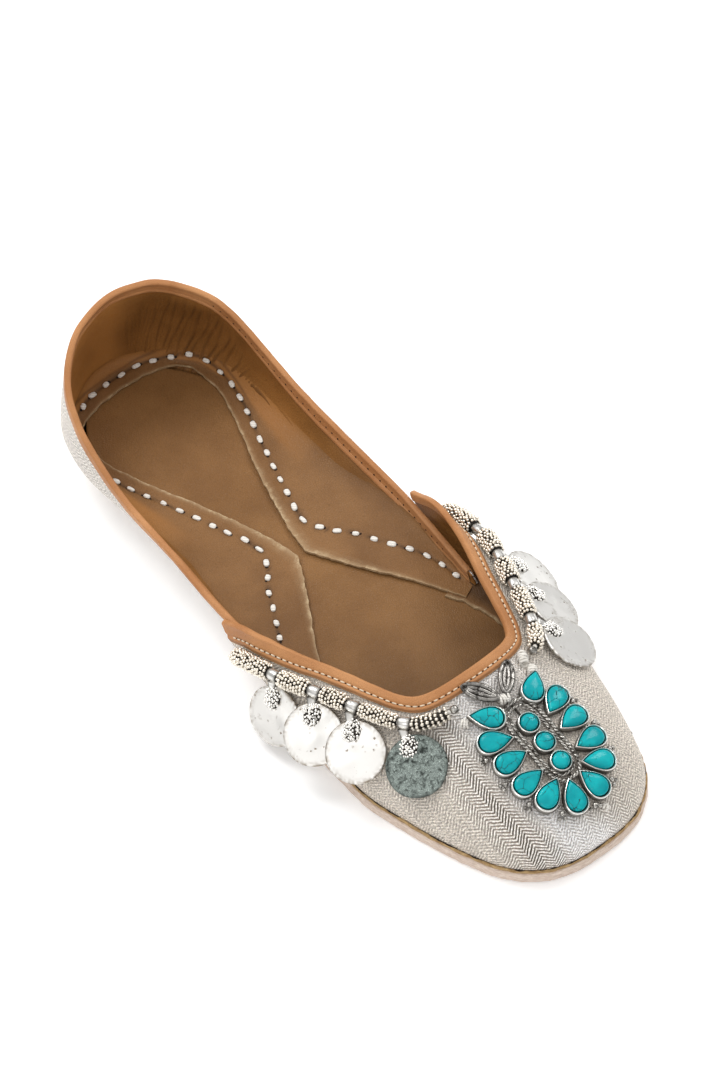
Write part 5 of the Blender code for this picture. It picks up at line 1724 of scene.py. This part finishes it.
def strap(side, shift):
    """The flat strap: a loop over the thread, then down the coin's face to its boss."""
    reach = SIDES[side] * shift / (COIN_HANG - NECK_HANG)
    angle = np.linspace(-0.35 * pi, 1.15 * pi, 18)[::-1, None]
    loop = BAIL_OUTER * 0.9 * np.concatenate([np.cos(angle), np.sin(angle)], axis=1)
    line = np.concatenate([STRAP_TAIL, loop, STRAP_TONGUE])
    width = np.interp(np.arange(len(line)), [0, len(line) - 5, len(line) - 1], [1.95, 1.85, 1.15])
    lean = reach * np.clip(line[:, 0] - NECK_HANG, 0, None)
    heading = unit(np.gradient(line, axis=0))
    normal = np.column_stack([-heading[:, 1], heading[:, 0]])
    grids = []
    for depth in (0.0, 0.38):
        grid = []
        for u in np.linspace(-1, 1, 9):
            crown = 0.16 * (1 - u * u) if depth == 0.0 else 0.0
            offset = normal * (crown - depth)
            grid.append(np.column_stack([lean + u * width, line + offset]))
        grids.append(np.stack(grid, axis=1).reshape(-1, 3))
    # painted highlight: the strap is painted darker at its sides, and darker still on its back, so its
    # crown looks bright
    rim = np.tile(0.25 + 0.7 * fade(np.abs(np.linspace(-1, 1, 9)), 0.45, 1.0), len(line))
    return closed_sheet(grids[0], grids[1], len(line), 9), np.concatenate([rim, rim + 0.6 * (1 - rim)])


print("a strap has", len(strap("right", COIN_SHIFTS[0])[0][1]), "faces")


# %% Hang the coins
def make_coin(side, number, place, along, shift):
    """A coin's disc, boss, mound and strap, all on the coin's own body."""
    axes = coin_frame(side, place, along, shift)
    dice = np.random.default_rng(100 * number + (7 if side == "left" else 0))
    body = f"coin_{side}_{number}"
    metal = SILVER[DARKENED.get((side, number), COIN_METALS[side])]
    reach = SIDES[side] * shift / (COIN_HANG - NECK_HANG)
    boss = np.array([reach * (BOSS_HANG - NECK_HANG), BOSS_HANG, 0.0])
    (disc, disc_faces), hollow = hammered_disc(dice.integers(1000))
    lay = lambda points: stand([place])[0] + np.asarray(points) @ axes
    make_piece(f"{body}_disc", (lay(coin_plane(side, shift, disc)), disc_faces), metal,
               [body], body, attributes={"hollow": hollow}, sharp=70, standing=True)
    places, sizes = boss_grains(dice)
    points, faces = grains(places + boss, sizes)
    make_piece(f"{body}_boss", (lay(points), faces), SILVER["bezel_silver"], [body], body,
               standing=True)
    points, faces = mound()
    make_piece(f"{body}_mound", (lay(points + boss), faces), SILVER["black_silver"], (), body,
               standing=True)
    (points, faces), hollow = strap(side, shift)
    make_piece(f"{body}_strap", (lay(points), faces), SILVER["bezel_silver"], [body], body,
               attributes={"hollow": hollow}, sharp=50, standing=True)


for side, route in ROUTES.items():
    headings = unit(route.at(route.stops + 1) - route.at(route.stops - 1))
    for number, (place, along, shift) in enumerate(zip(route.at(route.stops), headings, COIN_SHIFTS), 1):
        make_coin(side, number, place, along, shift)

# %% [markdown]
# ## The brooch
# Twelve drop-shaped and three round blue stones sit in silver cups on a frame of twisted wire. A cup is a
# thin wall bent round its stone and rubbed over at the top. Drop and circle are plain formulas, so the
# same code makes every cup: rings of the outline, from the outside up over the rim and down inside.

# %% Turquoise
STONE_DEEP, STONE_PALE = (0.001, 0.275, 0.305, 1), (0.004, 0.40, 0.42, 1)
VEIN_DARK, VEIN_DEPTH, VEIN_BEND = (0.012, 0.035, 0.035, 1), 0.0001, (0.003, 0.003, 0.003)


def make_turquoise():
    """Blue stone that drifts between two tones, with a few dark bent veins."""
    material, tree, shader = start_material("turquoise", Specular_IOR_Level=0.18)
    place = object_place(tree)
    drift = noise(tree, place, 160.0, 4.0)
    bend = add(tree, "TexNoise", {"Vector": place, "Scale": 300.0, "Detail": 4.0}).outputs["Color"]
    bent = add(tree, "VectorMath", {0: bend, 1: VEIN_BEND, 2: place}, operation="MULTIPLY_ADD").outputs[0]
    crack = add(tree, "TexVoronoi", {"Vector": bent, "Scale": 270.0}, feature="DISTANCE_TO_EDGE")
    vein = ramp(tree, crack.outputs["Distance"], 0.006, 0.026, 0.9, 0.0)
    vein = calc(tree, "MULTIPLY", vein, ramp(tree, noise(tree, place, 110.0, 1.0), 0.44, 0.54))
    colour = blend_colours(tree, ramp(tree, drift, 0.35, 0.65), STONE_DEEP, STONE_PALE)
    feed(tree, shader, {
        "Base Color": blend_colours(tree, vein, colour, VEIN_DARK),
        "Roughness": calc(tree, "MULTIPLY_ADD", vein, 0.3, 0.16),
        "Normal": bump(tree, calc(tree, "MULTIPLY", vein, -1.0), VEIN_DEPTH),
    })
    return material


TURQUOISE = make_turquoise()
print("material", TURQUOISE.name)

# %% Outlines of cups and stones
DROP_ROWS = (
    # middle of the drop and its pointed end: across, station, across, station
    (8.5, 204.7, 12.7, 200.7), (13.0, 210.8, 7.1, 213.7), (13.4, 218.9, 6.6, 219.6),
    (13.4, 227.2, 6.9, 226.8), (10.8, 234.3, 5.5, 231.4), (4.3, 239.4, 2.9, 234.3),
)
BROOCH_ACROSS = 1.1
DROP_LENGTH, DROP_WIDTH, DROP_SHIFT = 6.2, 5.2, 1.1
ROUND_STATIONS, ROUND_RADIUS = (213.0, 220.5, 228.0), 3.7
SKY = 90.0


def on_vamp(across, station):
    """The vamp's surface under a point of the plan, and its normal there."""
    hit, normal, _, _ = VAMP_SKIN.ray_cast(Vector((across, MIDDLE - station, SKY)), Vector((0, 0, -1)))
    return np.array(hit), np.array(normal)


def drop_outline(length, width, count=48):
    """A drop with its point at +X and its round end at -X."""
    angle = around(count)
    return np.stack([length * np.cos(angle), width * np.sin(angle) * np.sin(angle / 2)], axis=-1)


def round_outline(radius, count=40):
    """A circle."""
    angle = around(count)
    return radius * np.stack([np.cos(angle), np.sin(angle)], axis=-1)


print(2 * len(DROP_ROWS), "drops and", len(ROUND_STATIONS), "rounds")

# %% A cup and its stone
BEZEL_WALL, BEZEL_HEIGHT, BEZEL_FLOOR, STONE_DOME = 0.9, 2.3, 0.9, 1.3
BROOCH_LIFT, BROOCH_FLAT, CUP_LIFT = 0.5, 0.4, 0.9
CUP_LEVELS = (
    # share of the way from the outer outline to the inner one, height
    (-0.12, 0.0), (-0.12, 0.35), (0.0, 0.5), (0.0, 1.75), (0.06, 2.10), (0.20, 2.36), (0.42, 2.42),
    (0.58, 2.26), (0.68, 2.0), (0.80, 1.6), (1.0, 1.4), (1.0, BEZEL_FLOOR),
)
# tarnish inside the cup, with painted shade low on its outer wall and round the stone
CUP_TARNISH_AND_SHADE = (0.9, 0.9, 0.85, 0.6, 0.25, 0.0, 0.0, 0.15, 0.85, 1.0, 1.0, 1.0)
STONE_LEVELS, STONE_ROOM = 9, 0.02


def rings_of(outlines):
    """A closed solid through outlines at their levels, from the lowest on."""
    count = len(outlines[0][0])
    points = np.concatenate([np.column_stack([plan, np.full(count, level)]) for plan, level in outlines])
    return points, ring_faces(len(outlines), count)


def setting(outer, inner):
    """A cup and its stone on the plane Z = 0, and how dark the cup is in its hollows and low on its outer
    wall.
    """
    cup = rings_of([(outer + (inner - outer) * share, level) for share, level in CUP_LEVELS])
    hollow = np.repeat(CUP_TARNISH_AND_SHADE, len(outer))
    girdle = inner * (1 - STONE_ROOM / np.abs(inner).max())
    levels = [(girdle, BEZEL_FLOOR + 0.3)]
    for u in np.linspace(0, 0.985, STONE_LEVELS):
        level = BEZEL_HEIGHT - 0.35 + (STONE_DOME + 0.25) * u
        levels.append((girdle * (1 - u ** 3.2) ** (1 / 2.2), level))
    return cup, rings_of(levels), hollow


print("a cup has", len(CUP_LEVELS), "rings and a stone has", STONE_LEVELS + 1)


# %% Set the stones
def brooch_settings():
    """Every cup and stone, placed on the vamp."""
    placed = []
    for number, (across, station, point_across, point_station) in enumerate(DROP_ROWS, 1):
        for side, sign in SIDES.items():
            foot, normal = on_vamp(BROOCH_ACROSS + sign * across, station)
            crest = on_vamp(BROOCH_ACROSS, station)[1]
            normal = unit(normal + (crest - normal) * BROOCH_FLAT)
            heading = np.array([sign * (point_across - across), station - point_station, 0.0])
            ahead = unit(heading - normal * (heading @ normal))
            axes = np.stack([ahead, np.cross(normal, ahead), normal])
            base = foot + normal * CUP_LIFT + ahead * DROP_SHIFT
            inner = drop_outline(DROP_LENGTH - 1.25 * BEZEL_WALL, DROP_WIDTH - 1.1 * BEZEL_WALL)
            parts = setting(drop_outline(DROP_LENGTH, DROP_WIDTH), inner)
            placed.append((f"stone_drop_{side}_{number}", base, axes, *parts))
    for number, station in enumerate(ROUND_STATIONS, 1):
        foot, normal = on_vamp(BROOCH_ACROSS, station)
        ahead = unit(np.cross(np.array([1.0, 0.0, 0.0]), normal))
        axes = np.stack([np.cross(ahead, normal), ahead, normal])
        parts = setting(round_outline(ROUND_RADIUS), round_outline(ROUND_RADIUS - BEZEL_WALL))
        placed.append((f"stone_round_{number}", foot + normal * BROOCH_LIFT, axes, *parts))
    return placed


cups, cup_hollow = [], []
for name, base, axes, cup, stone, hollow in brooch_settings():
    cups.append((base + cup[0] @ axes, cup[1]))
    cup_hollow.append(hollow)
    make_piece(f"{name}_cut", (base + stone[0] @ axes, stone[1]), TURQUOISE, [name], sharp=60)
make_piece("brooch_cups", joined(cups), SILVER["bezel_silver"], ["brooch_frame"],
           attributes={"hollow": np.concatenate(cup_hollow)}, sharp=55)

# %% [markdown]
# Between the cups runs a rope of two wires twisted together. A twist is two thin tubes that circle the
# same path half a turn apart. Small grains are soldered between the round ends of the drops, and a few
# sit at either end of the brooch.

# %% Paths and twisted wire
WIRE_RADIUS, TWIST = 0.75, 2.9


def over_vamp(plan, lift):
    """A path over the vamp through points of the plan."""
    path = []
    for across, station in plan:
        foot, normal = on_vamp(across, station)
        path.append(foot + normal * lift)
    return np.array(path)


def smooth_loop(points, count):
    """A closed smooth path through points, at even steps."""
    points = np.asarray(points, float)
    n = len(points)
    t = np.linspace(0, n, count * 4, endpoint=False)
    i, u = t.astype(int), (t % 1)[:, None]
    a, b, c, d = (points[(i + k) % n] for k in (-1, 0, 1, 2))
    square, cube = 2 * a - 5 * b + 4 * c - d, 3 * b - a - 3 * c + d
    curve = 0.5 * (2 * b + (c - a) * u + square * u ** 2 + cube * u ** 3)
    closed = np.concatenate([curve, curve[:1]])
    run = run_along(closed)
    even = np.linspace(0, run[-1], count, endpoint=False)
    return np.stack([np.interp(even, run, closed[:, k]) for k in range(points.shape[1])], axis=-1)


def rope(path, length, radius):
    """Two strands twisted round a closed path."""
    along = unit(np.roll(path, -1, axis=0) - np.roll(path, 1, axis=0))
    across = unit(np.cross(along, [0.0, 0.0, 1.0]))
    lift = np.cross(across, along)
    turns = round(length / TWIST)
    angle = np.linspace(0, tau * turns, len(path), endpoint=False)
    strands = []
    for start in (0, pi):
        offset = np.cos(angle + start)[:, None] * across + np.sin(angle + start)[:, None] * lift
        strands.append(tube(path + offset * radius * 0.5, radius * 0.56, 7, closed=True))
    return joined(strands)


print("a rope turns once in", TWIST, "mm")

# %% Ropes and their spine
SPINE_RADIUS, SPINE_SPAN = 0.42, (204.6, 233.4)
ROPE_ROWS = (
    # across and station, from the top to the bottom of one side
    (0.0, 204.6), (3.8, 205.4), (5.4, 208.6), (6.0, 214.0),
    (5.8, 219.8), (5.9, 226.8), (4.7, 231.2), (2.6, 233.4),
)
ROPE_MIDDLE = 219.0
ropes = []
for scale, radius in ((1.0, WIRE_RADIUS), (0.76, WIRE_RADIUS * 0.7)):
    half = [(x * scale, ROPE_MIDDLE + (s - ROPE_MIDDLE) * (0.5 + 0.5 * scale)) for x, s in ROPE_ROWS]
    plan = [(BROOCH_ACROSS - x, s) for x, s in half[:0:-1]] + [(BROOCH_ACROSS + x, s) for x, s in half]
    plan = smooth_loop(plan, 420)
    path = over_vamp(plan, BROOCH_LIFT + WIRE_RADIUS + 0.2)
    length = np.linalg.norm(np.roll(path, -1, axis=0) - path, axis=1).sum()
    ropes.append(rope(path, length, radius))
make_piece("brooch_rope", joined(ropes), SILVER["rope_silver"], ["brooch_frame"])
spine = over_vamp([(BROOCH_ACROSS, s) for s in np.linspace(*SPINE_SPAN, 30)], BROOCH_LIFT + SPINE_RADIUS)
spine = tube(spine, SPINE_RADIUS, 8)
make_piece("brooch_spine", spine, SILVER["black_silver"], ["brooch_frame"])

# %% Grains of the brooch
NOTCH_GRAINS = (
    # outward from the notch's middle, beside it, radius
    (0.6, 0.0, 0.95), (1.9, 0.8, 0.7), (1.9, -0.8, 0.7), (-1.2, 0.0, 0.6),
)
END_GRAINS = (
    # across, station, radius
    (0.0, 203.6, 1.2), (0.4, 243.6, 1.1), (1.9, 244.4, 0.75), (-1.3, 243.8, 0.65),
)
TAIL_REACH, BROOCH_HEART = 3.9, (0, 222)


def between_drops():
    """Grains in the notches between the round ends of neighbouring drops: across, station, radius."""
    tails, spots = [], []
    for across, station, point_across, point_station in DROP_ROWS:
        away = unit(np.array([across - point_across, station - point_station]))
        tails.append(np.array([across, station]) + away * TAIL_REACH)
    for sign in SIDES.values():
        for first, second in zip(tails[1:], tails[2:]):
            middle = (first + second) / 2
            outward = unit(middle - BROOCH_HEART)
            beside = np.array([-outward[1], outward[0]])
            for far, aside, size in NOTCH_GRAINS:
                across, station = middle + outward * far + beside * aside
                spots.append((sign * across, station, size))
    return spots


places, sizes = [], []
for across, station, size in (*between_drops(), *END_GRAINS):
    foot, normal = on_vamp(BROOCH_ACROSS + across, station)
    places.append(foot + normal * (BROOCH_LIFT + size))
    sizes.append(size)
make_piece("brooch_grains", grains(places, sizes), SILVER["rope_silver"], ["brooch_frame"])

# %% [markdown]
# Two narrow loops of wire stand between the throat and the brooch like a pair of leaves. Each is bent
# from two wires, a thick loop round a thin one, and is almost black in the hollow. A closed tube over the
# vamp is enough for either wire.

# %% Leaf loops
LEAF_LOOPS = {
    # across and station of the upper end and of the lower end
    "right": (-7.3, 191.6, -1.2, 201.4),
    "left": (8.8, 193.0, 1.6, 201.4),
}
LEAF_LIFT = 2.3
LEAF_WIRES = (
    # half width of the loop, radius of the wire, share of the leaf's length
    (2.0, 0.75, 1.0), (0.7, 0.6, 0.8),
)
for side, (top_across, top_station, low_across, low_station) in LEAF_LOOPS.items():
    top, low = np.array([top_across, top_station]), np.array([low_across, low_station])
    along = low - top
    across = np.array([-along[1], along[0]]) / np.linalg.norm(along)
    loops = []
    for width, wire, shorter in LEAF_WIRES:
        plan = []
        for angle in around(72):
            bulge = width * sin(angle) * abs(sin(angle)) ** 0.4
            plan.append((top + low) / 2 - along / 2 * shorter * cos(angle) + across * bulge)
        loops.append(tube(over_vamp(plan, LEAF_LIFT), wire, 10, closed=True))
    leaf = joined(loops)
    make_piece(f"leaf_{side}_wire", leaf, SILVER["wire_silver"], [f"leaf_loop_{side}"])

# %% [markdown]
# Brooch, leaf loops and strings are tied to the cloth with a few turns of cream thread. Each tie is one
# thin tube wound round a short line that lies on the vamp.

# %% Thread ties
TIE_ROWS = (
    # across, station, heading in degrees from across towards the toe, turns, half length, radius
    (-13.7, 200.6, 55, 3, 1.4, 1.3),
    (14.9, 198.7, 130, 4, 1.5, 1.3),
    (0.4, 202.4, 15, 4, 1.9, 1.5),
    (15.2, 193.8, 120, 5, 2.4, 1.35),
    (4.6, 245.4, 60, 2, 1.0, 0.8),
)
TIE_THREAD = 0.42


def tie(across, station, heading, turns, half, radius):
    """A thread wound round a line that lies on the vamp."""
    foot, normal = on_vamp(across, station)
    ahead = np.array([cos(radians(heading)), -sin(radians(heading)), 0.0])
    ahead = unit(ahead - normal * (ahead @ normal))
    beside = np.cross(normal, ahead)
    turn = np.linspace(0, tau * turns, 22 * turns)
    wander = 0.12 * np.sin(turn * 0.37 + across)
    spread = radius * (1 - 0.25 * np.linspace(-1, 1, len(turn)) ** 2) + wander
    line = ahead * (half * np.linspace(-1, 1, len(turn)) + 0.15 * np.sin(turn * 1.7))[:, None]
    wound = np.cos(turn)[:, None] * beside + np.sin(turn)[:, None] * normal
    return tube(foot + normal * radius * 0.9 + line + wound * spread[:, None], TIE_THREAD, 8)


make_piece("thread_ties", joined([tie(*row) for row in TIE_ROWS]), THREAD)

# %% [markdown]
